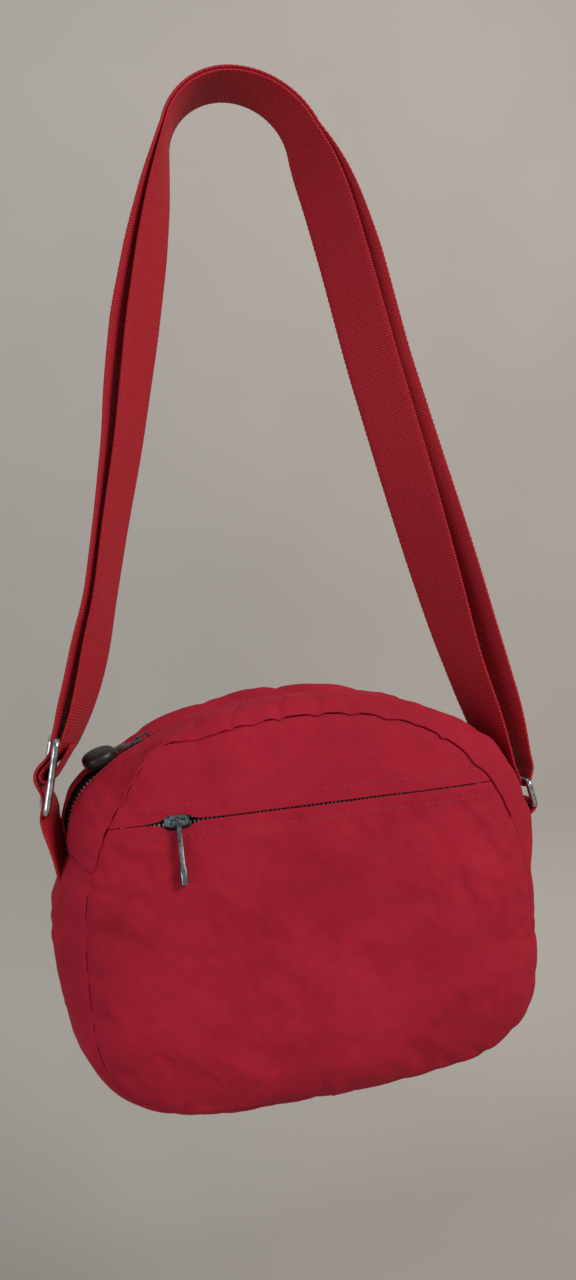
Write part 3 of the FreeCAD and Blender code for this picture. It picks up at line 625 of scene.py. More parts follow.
CLOTH = {"quality": 6, "mass": 0.1, "tension_stiffness": 12, "compression_stiffness": 12, "shear_stiffness": 4,
         "bending_stiffness": 0.05, "vertex_group_mass": "seams", "use_pressure": True}
CLOTH_FRAMES = 20


def settled(place, across, along, growth, push, cap):
    """place(u, v) with the shifts that a cloth simulation finds, none above cap millimetres."""
    cloth = grid_piece("settling_cloth", across, along, place)
    before = coordinates(cloth.data)
    held = [i for i in range(len(before)) if i % (across + 1) in (0, across) or i // (across + 1) in (0, along)]
    cloth.vertex_groups.new(name="seams").add(held, 1.0, "REPLACE")
    modifier = cloth.modifiers.new("Cloth", "CLOTH")
    for key, value in {**CLOTH, "shrink_min": -growth, "uniform_pressure_force": push}.items():
        setattr(modifier.settings, key, value)
    modifier.settings.effector_weights.gravity = 0
    modifier.collision_settings.use_collision = False
    for step in range(1, CLOTH_FRAMES + 1):
        bpy.context.scene.frame_set(step)
    after = coordinates(cloth.evaluated_get(bpy.context.evaluated_depsgraph_get()).data)
    bpy.context.scene.frame_set(1)
    bpy.data.objects.remove(cloth)
    shift = (after - before).reshape(along + 1, across + 1, 3) / MM
    size = np.linalg.norm(shift, axis=-1, keepdims=True)
    shift *= np.tanh(size / cap) * cap / np.maximum(size, 1e-6)
    rows, columns = (np.minimum(np.arange(n + 1), n - np.arange(n + 1)) for n in (along, across))
    shift *= np.clip(np.minimum(rows[:, None], columns) / 3, 0, 1)[:, :, None]

    def moved(u, v):
        near_u, share_u = table_weights(u, across + 1)
        near_v, share_v = table_weights(v, along + 1)
        total = place(u, v)
        for a in range(4):
            for b in range(4):
                total = total + (share_v[:, a] * share_u[:, b])[:, None] * shift[near_v[:, a], near_u[:, b]]
        return total
    return moved


front_low = sewn("front_panel_lower", 170, 110, settled(front_lower, 72, 44, 0.012, -0.15, 1.3), "pocket_welt_lower")
front_high = sewn("front_panel_upper", 160, 50, settled(front_upper, 64, 20, 0.012, -0.15, 0.9), "pocket_welt_upper")
sewn("back_panel", 140, 110, settled(back, 64, 60, 0.014, 0.15, 1.5), flip=True)


# Gusset and top strips, in rings round the zip's centre

def band_bulge(angle):
    turned = np.minimum(angle, 360 - angle)
    end = np.array([ZIP_END])
    top_bulge = (zip_reach(end) + FABRIC - seam_reach(end))[0]
    share = np.clip((BULGE_END - turned) / (BULGE_END - ZIP_END), 0, None)
    return BASE_BULGE + (top_bulge - BASE_BULGE) * share ** 2 + 4 * SIDE_BULGE * share * (1 - share)


# How much fuller the side and base hang than an even bulge, in millimetres by angle
FULLNESS = np.array([
    (-180, 1.5), (-155, 2.5), (-133, 4.5), (-118, 2.5), (-100, 2), (-82, 3.6), (-74, 5.2), (-66, 5.6),
    (-60, 3), (-57, 1.4), (57, 1), (68, 1), (85, -1.5), (105, 1), (122, 3.5), (140, 1), (160, 2), (180, 2.5)]).T


def shoulder_roll(angle, front):
    """The strip's end swells out beside the ring and hides its tab from the front."""
    return 7.4 * hump(signed(angle), 58, 8) * hump(front, 8, 8) * (1 - np.exp(-front / 2.5))


def gusset(u, v):
    angle = ZIP_END + 0.1 + (360 - 2 * ZIP_END - 0.2) * v
    across = 2 * u - 1
    y = across * HALF_DEPTH
    rim = seam_reach(angle)
    lift = band_bulge(angle) * (1 - np.abs(across) ** 2.2)
    lift += np.interp(signed(angle), FULLNESS[0], FULLNESS[1]) * (1 - across ** 4)
    length = along_seam(signed(angle))
    front = (1 + across) * HALF_DEPTH
    rear_in = (1 - across) * HALF_DEPTH
    edge = pucker(FRONT_TUCKS, length, front) + pucker(BACK_TUCKS, length, rear_in)
    edge += seam_roll(front, 2.6, 16) + seam_roll(rear_in, 1.6, 16) + shoulder_roll(angle, front)
    flat = xyz(length, y, 0)
    inner = np.clip((1 - np.abs(across)) * 4, 0, 1)
    wave = (0.8 * rolling(flat, 30, 8) + 0.3 * rolling(flat, 11, 9)) * inner
    return radial(angle, y, rim + lift + edge + wave)


# Pinched folds that run from the seam up over the front strip: angle, lean, width and height
CREASES = [(-27, -0.45, 1.5, 1.7), (-37, -0.3, 1.8, -1.0), (-50, -0.2, 1.6, 1.0), (22, 0.3, 1.6, 0.8)]


def creases(angle, depth_in):
    total = np.zeros_like(angle)
    for start, lean, width, height in CREASES:
        away = angle - start - lean * depth_in
        total += height * np.exp(-(away / width) ** 2) * hump(depth_in, 5, 8) * (1 - np.exp(-depth_in / 2))
    return total


# Where a strip's hem is folded, as a share of the way from the seam to the zip
HEM_FOLD = 0.84
# Where the front strip lies low under the main pull's disc, and where the rear one stands up behind it
LOW_ANGLE = -34
HIGH_ANGLE = -38


def strip(side):
    front = side < 0
    made = FRONT_TUCKS if front else BACK_TUCKS
    span = HALF_DEPTH - ZIP_HEM_EDGE

    def place(u, v):
        angle = -ZIP_END + 2 * ZIP_END * v
        rim = seam_reach(angle)
        edge = zip_reach(angle) + FABRIC + side * ZIP_HEM_EDGE * zip_lean(zip_length_at(angle))
        fade = 1 - (np.abs(angle) / ZIP_END) ** 4
        y = HALF_DEPTH - span * u
        up = np.clip(u / HEM_FOLD, 0, 1)
        if front:
            puff = 3.2 - 3.7 * hump(angle, LOW_ANGLE, 19)
            steep = 0.7 + 0.3 * hump(angle, LOW_ANGLE, 15)
        else:
            puff = 6.4 + 2.2 * hump(angle, HIGH_ANGLE, 14)
            steep = 0.7
        roll = puff * fade * np.sin(pi * up) ** 0.8
        hem = 0.3 * hump(u, 0.93, 0.05) - 0.45 * hump(u, 0.82, 0.03)
        depth_in = span * u
        length = along_seam(angle)
        flat = xyz(length, y * side, 0)
        inner = np.clip(u * 5, 0, 1) * np.clip((0.86 - u) * 8, 0, 1)
        wave = (0.9 * rolling(flat, 24, 12 + side) + 0.3 * rolling(flat, 9, 14)) * inner
        wave += seam_roll(depth_in, 2.6, 16) * inner
        if front:
            wave += shoulder_roll(angle, depth_in) + creases(angle, depth_in)
        gathers = 1.3 * pucker(made, length, depth_in) * np.clip((0.9 - u) * 6, 0, 1)
        points = radial(angle, side * y, rim + (edge - rim) * up ** steep + roll + hem + gathers + wave)
        if front:
            points[:, 2] += pinch(points[:, 0]) * (1 - u) ** 2.5
        return points
    return place


sewn("gusset", 48, 400, settled(gusset, 20, 170, 0.012, -0.15, 1.0), flip=True)
strip_front = sewn("top_strip_front", 48, 300, settled(strip(-1), 10, 90, 0.012, -0.15, 0.6))
strip_rear = sewn("top_strip_rear", 48, 300, settled(strip(1), 10, 90, 0.012, 0.15, 0.6), flip=True)


# Linings and bindings inside, and the zips' tapes

def thin_sheet(name, across, along, place, material, thickness=0.4, offset=0.0, flip=False):
    piece = grid_piece(name, across, along, place)
    if flip:
        piece.data.flip_normals()
    apply_modifier(piece, "SOLIDIFY", thickness=thickness * MM, offset=offset)
    edit_all(piece)
    close_outward()
    smooth(piece)
    return settle(piece, "bag", material, [name])


def flat_lining(y):
    def place(u, v):
        centre = np.array([0, WIDEST_Z])
        x, z = (centre + (whole_panel(u, v) - centre) * (1 - 2.4 / 90)).T
        edge = np.clip((1 - seam_level(x, z)) * 6, 0, 1)
        return xyz(x, y + 0.15 * rolling(xyz(x, 0, z), 30, 20) * edge, z)
    return place


def inner_band(u, v):
    angle = ZIP_END + 1.2 + (360 - 2 * ZIP_END - 2.4) * v
    across = 2 * u - 1
    return radial(angle, across * 27.3, seam_reach(angle) - 2.1 + band_bulge(angle) * (1 - across ** 2) * 0.97)


def slip(u, v):
    return xyz((2 * u - 1) * 75, 31.0 - 0.35 * np.sin(pi * u) * v, -513 + 95 * v)


def binding(y):
    def place(u, v):
        angle = -180 + 360 * v
        return radial(angle, y + u * 6, seam_reach(angle) - 3.3 - 0.1 * np.sin(pi * u))
    return place


# Where both zips' tapes begin beside the slider's slot
TAPE_EDGE = 3.05


def arc_tape(side):
    def place(u, v):
        cord = 0.28 * hump(u, 0.08, 0.07)
        return along_zip(ZIP_LENGTH * (2 * v - 1), side * (TAPE_EDGE + 6.1 * u), -0.35 + cord)
    return place


def pocket_tape(side):
    def place(u, v):
        z = POCKET_Z + side * (TAPE_EDGE + 8.25 * u)
        return xyz((2 * v - 1) * (97.5 - np.abs(z - POCKET_Z) * 0.45), -32.1, z)
    return place


for name, y in (("pocket_lining", -28.5), ("back_lining", 31.9)):
    thin_sheet(name, 40, 34, flat_lining(y), LINING)
thin_sheet("gusset_lining", 16, 160, inner_band, LINING, offset=-1.0, flip=True)
thin_sheet("slip_pocket", 30, 20, slip, LINING)
for name, y in (("seam_binding_front", -28.0), ("seam_binding_back", 24.8)):
    thin_sheet(name, 6, 220, binding(y), BINDING, 0.5)
for name, side in (("main_zip_tape_front", -1), ("main_zip_tape_rear", 1)):
    thin_sheet(name, 12, 160, arc_tape(side), TAPE, 0.5, side)
halves = []
for side in (-1, 1):
    half = grid_piece("pocket_zip_tapes", 8, 80, pocket_tape(side))
    apply_modifier(half, "SOLIDIFY", thickness=0.5 * MM, offset=0.0)
    halves.append(half)
edit_all(joined(halves))
close_outward()
settle(halves[0], "bag", TAPE, ["pocket_zip_tapes"])


# The shoulder strap: one length of webbing from the side patch, through the
# adjuster, over the grip, round the ring and back to the adjuster's middle bar

LEAN = radians(12.278305693339663)
INNER = GRIP_RADIUS + WEBBING / 2
OUTER = INNER + WEBBING + GRIP_GAP
START = np.array([INNER * cos(LEAN), -GRIP_RADIUS + INNER * sin(LEAN)])
TILT = radians(12.5)
ADJUSTER = np.array([-126.0, -361.5])
BAR_RISE = 18.0
HUG = WIRE_RADIUS + 0.3 + WEBBING / 2
PATCH_X = 123.56
TAB_TOP = -406.5
TAB_BOTTOM = -415.5
RING_LOW = np.array([PATCH_X + HUG + 4.1, TAB_TOP])
RING_TURN = radians(-11.0)
RING_HIGH = RING_LOW + np.array([sin(RING_TURN), cos(RING_TURN)]) * 13.8


RUN_STEPS = 120
GRIP_STEPS = 40


def profile(*pairs):
    """A value for each step of a run, smoothly through (share, value) pairs."""
    raw = np.interp(np.linspace(0, 1, RUN_STEPS + 1), *zip(*pairs))
    return blurred(raw, 17, 2.2, mode="reflect", reflect_type="odd")


# How each run twists (degrees), how far its layers lie apart and how far it bows outwards,
# by the share of the way down
LEFT_RUN = (
    profile((0, 8), (0.05, 17), (0.1, 25.5), (0.2, 35), (0.33, 37.5), (0.53, 30), (0.66, 26.5), (0.79, 23),
            (0.86, 28), (0.93, 25), (1, 17)),
    profile((0, 2), (0.1, 4.2), (0.2, 6.2), (0.33, 8.2), (0.45, 8), (0.53, 6.5), (0.66, 4.7), (0.79, 4.7),
            (0.88, 5.8), (1, 6.8)),
    profile((0, 0), (0.33, -0.3), (0.53, -0.9), (0.66, 0.4), (0.79, 0.8), (0.86, 2.0), (0.93, 1.3), (1, 0)))
RIGHT_RUN = (
    profile((0, 20), (0.05, 42), (0.1, 49), (0.19, 53), (0.35, 60), (0.51, 58), (0.67, 43), (0.75, 34), (0.83, 24),
            (0.9, 21), (0.95, 16), (1, 4)),
    profile((0, 2), (0.03, 3.4), (0.1, 6), (0.19, 8), (0.35, 7.5), (0.51, 9), (0.67, 12), (0.83, 14.5), (0.92, 13),
            (1, 10.6)),
    profile((0, 3), (0.05, 5.5), (0.1, 6.5), (0.19, 6.2), (0.35, 4.3), (0.51, 3.9), (0.67, 3.2), (0.83, 2.8),
            (0.92, 2.4), (1, 0)))


def tilted_point(origin, along, outwards, out, up):
    return origin + np.array(along) * up + np.array(outwards) * out


LEFT_OUT = (-cos(TILT), sin(TILT))
FOLD_TURN = radians(23.0)


def adjuster_point(out, up):
    return tilted_point(ADJUSTER, (sin(TILT), cos(TILT)), LEFT_OUT, out, up)


def fold_point(out, up):
    along = (-sin(FOLD_TURN), cos(FOLD_TURN))
    return tilted_point(RING_HIGH, along, (cos(FOLD_TURN), sin(FOLD_TURN)), out, up)


def bend(radius, degrees):
    """Points on a circle, as the webbing lies round a wire."""
    return [(radius * cos(radians(a)), radius * sin(radians(a))) for a in degrees]


def run_curve(end, flare_z, shape, outer):
    """Points (x, z), outward direction and twist down one run of the strap, on the right side."""
    flare = end[0] - START[0] - (START[1] - end[1]) * tan(LEAN)
    twists, apart, bow = shape
    rows = []

    def middle(s):
        z = START[1] + (end[1] - START[1]) * s
        x = START[0] + (START[1] - z) * tan(LEAN)
        if z < flare_z:
            x += flare * ((flare_z - z) / (flare_z - end[1])) ** 2
        return np.array([x, z])

    for i in range(RUN_STEPS + 1):
        share = i / RUN_STEPS
        along = middle(share + 0.01) - middle(share - 0.01)
        along /= np.linalg.norm(along)
        out = np.array([-along[1], along[0]])
        rows.append((middle(share) + out * (apart[i] * outer + bow[i]), out, radians(twists[i])))
    return rows


def mirrored(rows):
    return [(np.array([-p[0], p[1]]), np.array([-o[0], o[1]]), t) for p, o, t in rows]


def flat_rows(points, out=(0, 0), twists=((0, 0), (1, 0))):
    """Rows smoothed through the given (x, z) points, turned about a steady direction by (share, degrees)."""
    made = bpy.data.curves.new("stretch", "CURVE")
    made.dimensions = "3D"
    spline = made.splines.new("NURBS")
    spline.points.add(len(points) - 1)
    for place, point in zip(spline.points, points):
        place.co = (point[0], 0, point[1], 1)
    spline.order_u = 3
    spline.use_endpoint_u = True
    spline.resolution_u = 10
    holder = bpy.data.objects.new("stretch", made)
    mesh = bpy.data.meshes.new_from_object(holder)
    shares, values = zip(*twists)
    turns = np.interp(np.linspace(0, 1, len(mesh.vertices)), shares, values)
    rows = [(np.array([v.co.x, v.co.z]), np.array(out, float), radians(t)) for v, t in zip(mesh.vertices, turns)]
    bpy.data.objects.remove(holder)
    bpy.data.curves.remove(made)
    bpy.data.meshes.remove(mesh)
    return rows


left_low_in = adjuster_point(-9.6, BAR_RISE + 4.8)
left_end = np.array([-left_low_in[0], left_low_in[1]])
right_end = fold_point(-HUG, 8.8)
left_in = mirrored(run_curve(left_end, -290.0, LEFT_RUN, 0))
left_out = mirrored(run_curve(left_end, -290.0, LEFT_RUN, 1))
right_in = run_curve(right_end, -300.0, RIGHT_RUN, 0)
right_out = run_curve(right_end, -300.0, RIGHT_RUN, 1)


def grip_rows(reach):
    rows = []
    for i in range(GRIP_STEPS + 1):
        turn = pi - LEAN - (pi - 2 * LEAN) * i / GRIP_STEPS
        out = np.array([cos(turn), sin(turn)])
        run = LEFT_RUN if 2 * i < GRIP_STEPS else RIGHT_RUN
        share = (2 * i / GRIP_STEPS - 1) ** 2
        rows.append((np.array([0, -GRIP_RADIUS]) + out * (reach + run[2][0] * share), out,
                     radians(run[0][0]) * share))
    return rows


over = HUG + WEBBING + 0.3
start_low = adjuster_point(-HUG - 0.2, -BAR_RISE - 4.3)
patch_rows = [(-PATCH_X, TAB_BOTTOM), (-PATCH_X, TAB_BOTTOM + 6)]
patch_rows += [((start_low[0] - PATCH_X) / 2 + 1.5, (start_low[1] + TAB_BOTTOM) / 2), start_low]
weave_in = [(-HUG, -BAR_RISE), (-HUG + 0.2, 2 - BAR_RISE), (-1.7, -12.2), (0.8, -8.2), (over * 0.9, -over * 0.8)]
weave_in += [(over * 1.1, 0), (over * 0.9, over * 0.8), (0.8, 8.2), (-1.7, 12.2), (-HUG + 0.2, BAR_RISE - 2)]
weave_in += [(-HUG, BAR_RISE)]
climb = flat_rows(patch_rows + [adjuster_point(*p) for p in weave_in] + [left_out[-3][0]], LEFT_OUT,
                  ((0, 6), (0.15, 17), (0.3, 14), (0.45, 7), (0.75, 6), (1, 17)))
fold = [(7.7, 7.6), (6.4, 3.0), (3.9, 0.2)] + bend(HUG * 1.06, (-50, -80, -110, -145, -180))
fold += [(-HUG, 4.0), (-HUG, 7.6)]
turn_rows = flat_rows([right_out[-2][0]] + [fold_point(*p) for p in fold] + [right_in[-2][0]], right_out[-1][1],
                      ((0, 5), (0.3, 0), (0.7, 0), (1, 5)))
loop = [(-7.9, 16.4), (-5.6, 11.6), (-1.6, 6.8)] + bend(HUG * 1.05, range(35, -141, -35))
loop += [(-4.6, 3.2), (-7.7, 10.6), (-10.3, 17.2)]
loop_rows = flat_rows([left_in[-3][0]] + [adjuster_point(*p) for p in loop], LEFT_OUT,
                      ((0, 19), (0.3, 6), (1, 5)))

strap_rows = climb[:-1] + list(reversed(left_out[:-3])) + grip_rows(OUTER)[1:-1] + right_out[:-2]
strap_rows += turn_rows[1:-1] + list(reversed(right_in[:-2])) + list(reversed(grip_rows(INNER)[1:-1]))
strap_rows += left_in[:-3] + loop_rows[1:]

STRAP_STEP = 0.75
SCALLOP_PITCH = 3.0


def even_rows(rows):
    """Even steps along the strap: lengths, middle points, outward directions and twists, all smoothed."""
    columns = np.array([(*point, *out, turn) for point, out, turn in rows])
    lengths = lengths_along(columns[:, :2])
    keep = np.concatenate([[True], np.diff(lengths) > 1e-6])
    even = np.arange(0, lengths[keep][-1], STRAP_STEP)
    smoothed = [blurred(np.interp(even, lengths[keep], column), 7, 2, mode="edge") for column in columns[keep].T]
    return even, np.stack(smoothed[0:2], axis=-1), np.stack(smoothed[2:4], axis=-1), smoothed[4]


def strap_mesh(name, rows):
    """Webbing swept along rows, with its own UVs in millimetres for the ribs and a scalloped edge."""
    even, spot, side, turn = even_rows(rows)
    tangent = np.gradient(spot, axis=0)
    tangent /= np.linalg.norm(tangent, axis=1)[:, None]
    count = len(even)
    centre, along, outward_side = (xyz(flat[:, 0], 0, flat[:, 1]) for flat in (spot, tangent, side))
    across = np.cos(turn)[:, None] * np.array([0, 1.0, 0]) - np.sin(turn)[:, None] * outward_side
    across /= np.linalg.norm(across, axis=1)[:, None]
    normal = np.cross(along, across)
    half = WEBBING_WIDTH / 2
    ring = [((-1 + 2 * i / 10) * (half - 0.55), 0.5) for i in range(11)]
    ring += [(half - 0.12, 0.32), (half, 0.0), (half - 0.12, -0.32)]
    ring += [(-wide, -thick) for wide, thick in ring]
    ring = np.array(ring + ring[:1])
    around = len(ring) - 1

    def place(u, v):
        i, j = np.rint(u * around).astype(int), np.rint(v * (count - 1)).astype(int)
        wide = ring[i, 0]
        thick = ring[i, 1] * WEBBING
        edge = np.clip((np.abs(wide) - half + 1.2) / 1.2, 0, 1)
        scallop = 0.16 * np.sin(2 * pi * even[j] / SCALLOP_PITCH) * edge * np.sign(wide)
        return centre[j] + across[j] * (wide + scallop)[:, None] + normal[j] * thick[:, None]
    piece = grid_piece(name, around, count - 1, place)
    mesh = piece.data
    layer = mesh.uv_layers.active or mesh.uv_layers.new(name="UVMap")
    uv = np.zeros(len(mesh.loops) * 2)
    layer.data.foreach_get("uv", uv)
    uv = uv.reshape(-1, 2)
    uv[:, 0] = ring[np.rint(uv[:, 0] * around).astype(int), 0] + half
    uv[:, 1] *= even[-1]
    layer.data.foreach_set("uv", uv.ravel())
    edit_all(piece)
    bpy.ops.mesh.remove_doubles(threshold=0.00002)
    bpy.ops.mesh.select_all(action="DESELECT")
    bpy.ops.mesh.select_non_manifold()
    bpy.ops.mesh.fill_holes(sides=0)
    bpy.ops.mesh.select_all(action="SELECT")
    close_outward()
    smooth(piece, 50)
    return piece


strap = strap_mesh("shoulder_strap", strap_rows)
settle(strap, None, WEB, [
    "anchor_webbing", "strap_adjuster_pass", "strap_left_outer", "strap_grip_outer", "strap_right_outer",
    "strap_ring_fold", "strap_right_inner", "strap_grip_inner", "strap_left_inner", "strap_sewn_end"])
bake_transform(strap)

second = PATCH_X + WEBBING + 0.3
tab = [(PATCH_X, TAB_BOTTOM), (PATCH_X, TAB_BOTTOM + 2.5), ((PATCH_X + RING_LOW[0] - HUG) / 2, TAB_TOP - 3)]
tab += [(RING_LOW[0] + x, TAB_TOP + z) for x, z in bend(HUG * 1.05, (170, 138, 106, 74, 42, 10))]
tab += [(RING_LOW[0] + 1.6, TAB_TOP - 3.4), (second + 0.5, TAB_BOTTOM + 2.5), (second, TAB_BOTTOM)]
settle(strap_mesh("ring_tab_webbing", flat_rows(tab)), "bag", WEB, ["ring_tab"])


# Hardware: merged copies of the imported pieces, with their edges broken as tumbling
# leaves them, and wire loops drawn along their real path

def broken_edges(name, material, body, width=0.25):
    piece = new_object(name + "_finished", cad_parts[name].data.copy())
    edit_all(piece)
    bpy.ops.mesh.remove_doubles(threshold=0.000005)
    bpy.ops.mesh.dissolve_limited(angle_limit=radians(2))
    bpy.ops.object.mode_set(mode="OBJECT")
    bevel(piece, width * MM, 2, 35)
    smooth(piece, 35)
    settle(piece, body, material, [name])


broken_edges("main_slider", GUNMETAL, "main_zip_slider")
broken_edges("main_pull_link", GUNMETAL, "main_zip_pull", 0.3)
broken_edges("pocket_slider", ZINC, "pocket_zip_slider")
broken_edges("pocket_pull", ZINC, "pocket_zip_pull")
broken_edges("main_zip_stops", TEETH, "bag")
broken_edges("pocket_zip_stops", TEETH, "bag")

WIRE_HALF_WIDTH = 17.8
WIRE_CORNER = 3.0
RING_HALF_HEIGHT = 6.9
BAR_RADIUS = 1.7


def wire_loop(name, half_height):
    """Round wire bent to a closed oblong in the YZ plane, extruded along each side and spun at each corner."""
    bpy.ops.mesh.primitive_circle_add(vertices=20, radius=WIRE_RADIUS * MM, rotation=(pi / 2, 0, 0),
                                      location=(0, 0, half_height * MM))
    bpy.ops.object.transform_apply()
    piece = bpy.context.object
    piece.name = name
    edit_all(piece)
    flat_y = (WIRE_HALF_WIDTH - WIRE_CORNER) * MM
    flat_z = (half_height - WIRE_CORNER) * MM
    runs = [(flat_y, 0), (0, -2 * flat_z), (-2 * flat_y, 0), (0, 2 * flat_z), (flat_y, 0)]
    corners = [(flat_y, flat_z), (flat_y, -flat_z), (-flat_y, -flat_z), (-flat_y, flat_z)]
    for run, turned in zip(runs, corners + [None]):
        bpy.ops.mesh.extrude_region_move(TRANSFORM_OT_translate={"value": (0, *run)})
        if turned:
            bpy.ops.mesh.spin(steps=8, angle=pi / 2, center=(0, *turned), axis=(1, 0, 0))
    bpy.ops.mesh.select_all(action="SELECT")
    bpy.ops.mesh.remove_doubles(threshold=WIRE_RADIUS * 0.02 * MM)
    close_outward()
    return piece


def put(piece, lean, x, z, turned=0.0):
    piece.data.transform(Matrix.Translation((x * MM, 0, z * MM)) @ Matrix.Rotation(lean, 4, "Y")
                         @ Matrix.Rotation(turned, 4, "Z"))
    smooth(piece, 50)
    return piece


adjuster = wire_loop("strap_adjuster", BAR_RISE)
bpy.ops.mesh.primitive_cylinder_add(vertices=24, radius=BAR_RADIUS * MM, depth=2 * (WIRE_HALF_WIDTH - 0.2) * MM,
                                    rotation=(pi / 2, 0, 0))
bpy.ops.object.transform_apply()
joined([adjuster, bpy.context.object])
settle(put(adjuster, TILT, *ADJUSTER, radians(5)), "bag", STEEL, ["adjuster_frame"])
ring = wire_loop("strap_side_ring", RING_HALF_HEIGHT)
settle(put(ring, RING_TURN, *((RING_LOW + RING_HIGH) / 2)), "strap_ring", STEEL, ["side_ring"])


# The rubber grip of the main pull: a thick disc with a shallow dish in each face

SLIDER_TURN = radians(-22.9)
DISC_RADIUS = 8.9
DISC_DEPTH = 6.6
DISC_ROLL = radians(14)


def on_slider(matrix):
    return (Matrix.Translation((0, 0, ZIP_CENTRE_Z)) @ Matrix.Rotation(SLIDER_TURN, 4, "Y")
            @ Matrix.Translation((-1.45, 0, ZIP_RADIUS - 0.6 + 4.35)) @ Matrix.Rotation(radians(6), 4, "Y")
            @ matrix)


bpy.ops.mesh.primitive_cylinder_add(vertices=56, radius=DISC_RADIUS, depth=DISC_DEPTH)
disc = bpy.context.object
disc.name = "rubber_pull_disc"
for side in (1, -1):
    for face in disc.data.polygons:
        face.select = face.normal.z * side > 0.9
    bpy.ops.object.mode_set(mode="EDIT")
    bpy.ops.mesh.select_mode(type="FACE")
    bpy.ops.mesh.inset(thickness=3.3)
    bpy.ops.mesh.inset(thickness=1.1)
    bpy.ops.transform.translate(value=(0, 0, -0.7 * side))
    bpy.ops.mesh.inset(thickness=1.6)
    bpy.ops.mesh.select_all(action="DESELECT")
    bpy.ops.object.mode_set(mode="OBJECT")
bevel(disc, 2.6, 6, 60)
on_link = on_slider(Matrix.Translation((-23.0, 0, 0.5)) @ Matrix.Rotation(DISC_ROLL, 4, "X"))
disc.data.transform(Matrix.Scale(MM, 4) @ on_link)
smooth(disc, 40)
settle(disc, "main_zip_pull", RUBBER, ["main_pull_disc"])


# What repeats is modelled once and copied, each copy with its own mesh

def repeated(source, name, places):
    copies = [new_object(name, source.data.copy()) for _ in places]
    for copy, place in zip(copies, places):
        copy.data.transform(place)
    bpy.data.objects.remove(source)
    return joined(copies)


CHAIN_PITCH = 2.2
TOOTH = (1.25, 2.5, 2.0, 1)
TOOTH_Y = 1.75


def one_tooth():
    bpy.ops.mesh.primitive_cube_add(size=1)
    made = bpy.context.object
    made.data.transform(Matrix.Diagonal(TOOTH))
    bevel(made, 0.28, 1)
    return made


def tooth_steps(half_length, side):
    """Places along a chain, those of one side half-way between those of the other."""
    count = int(half_length / CHAIN_PITCH)
    return [(i + 0.25 * side) * CHAIN_PITCH for i in range(-count, count + 1)]


def zip_place(length, y):
    spot = np.array([length])
    _, turn = zip_turn(spot)
    return (Matrix.Scale(MM, 4) @ Matrix.Translation(along_zip(spot, np.array([y]), -0.6)[0])
            @ Matrix.Rotation(float(turn[0]), 4, "Y") @ Matrix.Rotation(atan(float(zip_lean(spot)[0])), 4, "X"))


def pocket_place(x, side):
    return (Matrix.Scale(MM, 4) @ Matrix.Translation((x, -31.9, POCKET_Z + side * TOOTH_Y))
            @ Matrix.Rotation(pi / 2, 4, "X"))


for name, side in (("main_zip_teeth_front", -1), ("main_zip_teeth_rear", 1)):
    places = [zip_place(step, side * TOOTH_Y) for step in tooth_steps(ZIP_LENGTH - 5, side)]
    settle(repeated(one_tooth(), "zip_chain" + name[14:], places), "bag", TEETH, [name])
places = [pocket_place(step, side) for side in (-1, 1) for step in tooth_steps(94, side)]
settle(repeated(one_tooth(), "pocket_zip_chain", places), "bag", TEETH, ["pocket_zip_teeth"])


# Lockstitch rows: each stitch lies half sunk in the cloth, found by looking straight at it

STITCH = 3.3
TOPSTITCH = 7.2
HEM_STITCH_Y = 8.4


def one_stitch():
    bpy.ops.mesh.primitive_cylinder_add(vertices=8, radius=0.2 * MM, depth=2.5 * MM, rotation=(0, pi / 2, 0))
    bpy.ops.object.transform_apply()
    made = bpy.context.object
    bevel(made, 0.12 * MM, 1, 60)
    smooth(made, 60)
    return made


def stitch_row(name, cloth, starts, aim):
    """Stitches from points starts (metres), each looking along aim(start) at the cloth."""
    found = []
    for start in starts:
        hit, where, normal, _ = cloth.ray_cast(Vector(start), aim(start).normalized())
        if hit:
            found.append((where, normal))
    places = []
    for (here, normal), (ahead, _) in zip(found, found[1:]):
        along = (ahead - here).normalized()
        across = normal.cross(along).normalized()
        turned = Matrix((along, across, along.cross(across))).transposed().to_4x4()
        places.append(Matrix.Translation((here + ahead) / 2 + normal * 0.00006) @ turned)
    settle(repeated(one_stitch(), name, places), "bag", THREAD)


def inwards(start):
    return Vector((min(max(start[0], -BEND_X * MM), BEND_X * MM) * 0.55 - start[0], 0, -0.43 - start[2]))


span = int(95 / STITCH)
for name, cloth, side in (("pocket_topstitch_upper", front_high, 1), ("pocket_topstitch_lower", front_low, -1)):
    starts = [(i * STITCH * MM, -0.08, (POCKET_Z + side * TOPSTITCH) * MM) for i in range(-span, span + 1)]
    stitch_row(name, cloth, starts, lambda start: Vector((0, 1, 0)))
for name, cloth, side in (("hem_stitches_front", strip_front, -1), ("hem_stitches_rear", strip_rear, 1)):
    lengths = np.arange(-ZIP_LENGTH + 6, ZIP_LENGTH - 6, STITCH)
    starts = along_zip(lengths, np.full(len(lengths), side * HEM_STITCH_Y), 14.0) * MM
    stitch_row(name, cloth, starts, inwards)


# Studio: a pale sweep behind and below, soft lamps and the camera

SWEEP_RADIUS = 0.28
sweep_curve = [(-1.3, -0.80), *((0.30 + SWEEP_RADIUS * sin(a), -0.80 + SWEEP_RADIUS * (1 - cos(a)))
                                for a in map(radians, range(0, 91, 9))), (0.58, 1.6)]


def sweep(u, v):
    index = v * (len(sweep_curve) - 1)
    ys, zs = (np.interp(index, range(len(sweep_curve)), column) for column in zip(*sweep_curve))
    return xyz((u - 0.5) * 5, ys, zs) * 1000


backdrop = grid_piece("studio_sweep", 2, (len(sweep_curve) - 1) * 2, sweep)
smooth(backdrop, 60)
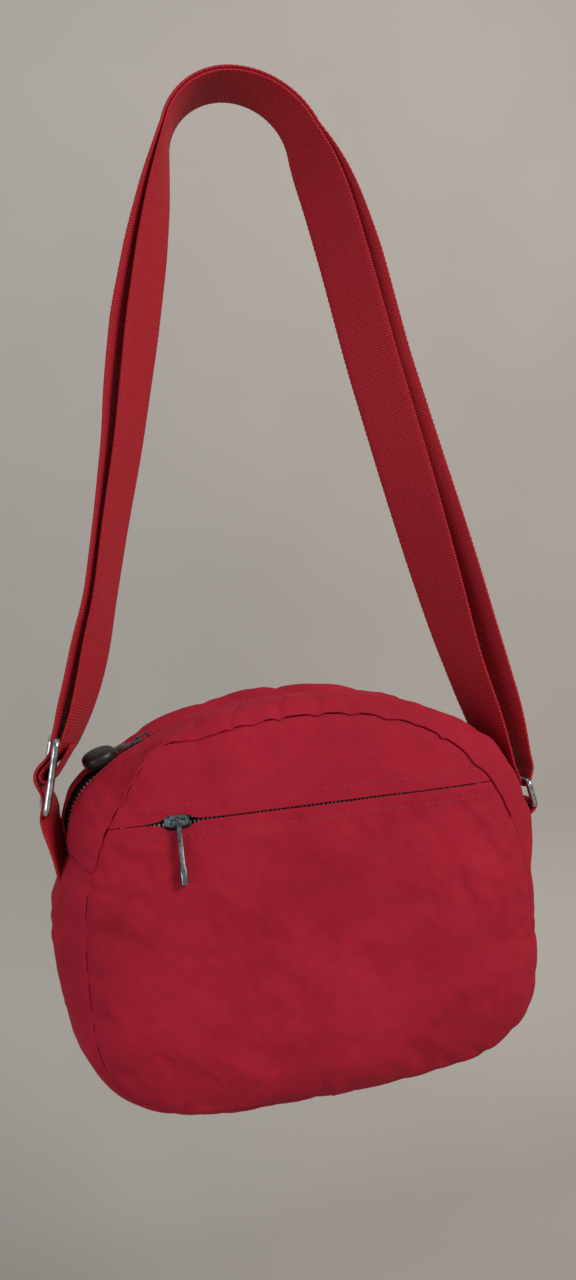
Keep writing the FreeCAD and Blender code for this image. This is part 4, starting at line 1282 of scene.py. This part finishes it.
# Matt paper, which is clear from behind, so that it hides nothing in a view of the back
paper, paper_tree, place = new_material("matt_studio_paper")
grain = node(paper_tree, "TexNoise", {"Vector": place}, in_Scale=2.2, in_Detail=3.0)
colour = node(paper_tree, "ValToRGB", {"Fac": grain}, stops=[(0.3, "#A4A19D"), (0.7, "#AEABA7")])
surface(paper, Base_Color=colour, Roughness=0.9)
one_sided = node(paper_tree, "MixShader", {
    0: node(paper_tree, "NewGeometry").outputs["Backfacing"],
    1: paper_tree.nodes["Principled BSDF"], 2: node(paper_tree, "BsdfTransparent")})
paper_tree.links.new(output(one_sided), paper_tree.nodes["Material Output"].inputs["Surface"])
backdrop.data.materials.append(paper)


def soft_lamp(name, place, aim, size, power, colour):
    data = bpy.data.lights.new(name, "AREA")
    data.shape = "DISK"
    data.size = size
    data.energy = power
    data.color = srgb(colour)[:3]
    lamp = new_object(name, data)
    lamp.location = place
    lamp.rotation_euler = (Vector(aim) - Vector(place)).to_track_quat("-Z", "Y").to_euler()


middle = (0, 0, -0.35)
soft_lamp("key_lamp", (1.25, -1.15, 0.55), middle, 0.9, 28, "#FFF8F0")
soft_lamp("fill_lamp", (-1.6, -1.0, -0.5), middle, 1.4, 15, "#F4F6FF")
soft_lamp("top_lamp", (-0.1, -0.1, 1.35), middle, 1.2, 3, "#FFFFFF")

world = bpy.data.worlds.new("studio")
bpy.context.scene.world = world
world.use_nodes = True
background = world.node_tree.nodes["Background"].inputs
background["Color"].default_value = srgb("#E6E4E0")
background["Strength"].default_value = 0.45

camera_data = bpy.data.cameras.new("camera")
camera_data.sensor_fit = "VERTICAL"
camera_data.sensor_height = 36.0
camera_data.lens = 27.0
camera_data.clip_start = 0.01
camera = new_object("camera", camera_data)
right = Vector((0.972, -0.215, -0.093)).normalized()
down = Vector((-0.086, 0.040, -0.996))
down = (down - right * down.dot(right)).normalized()
ahead = right.cross(down)
turn = Matrix((right, -down, -ahead)).transposed()
camera.matrix_world = Matrix.Translation((-0.1084, -0.5072, -0.3146)) @ turn.to_4x4()
bpy.context.scene.camera = camera
bpy.context.scene.view_settings.view_transform = "Standard"
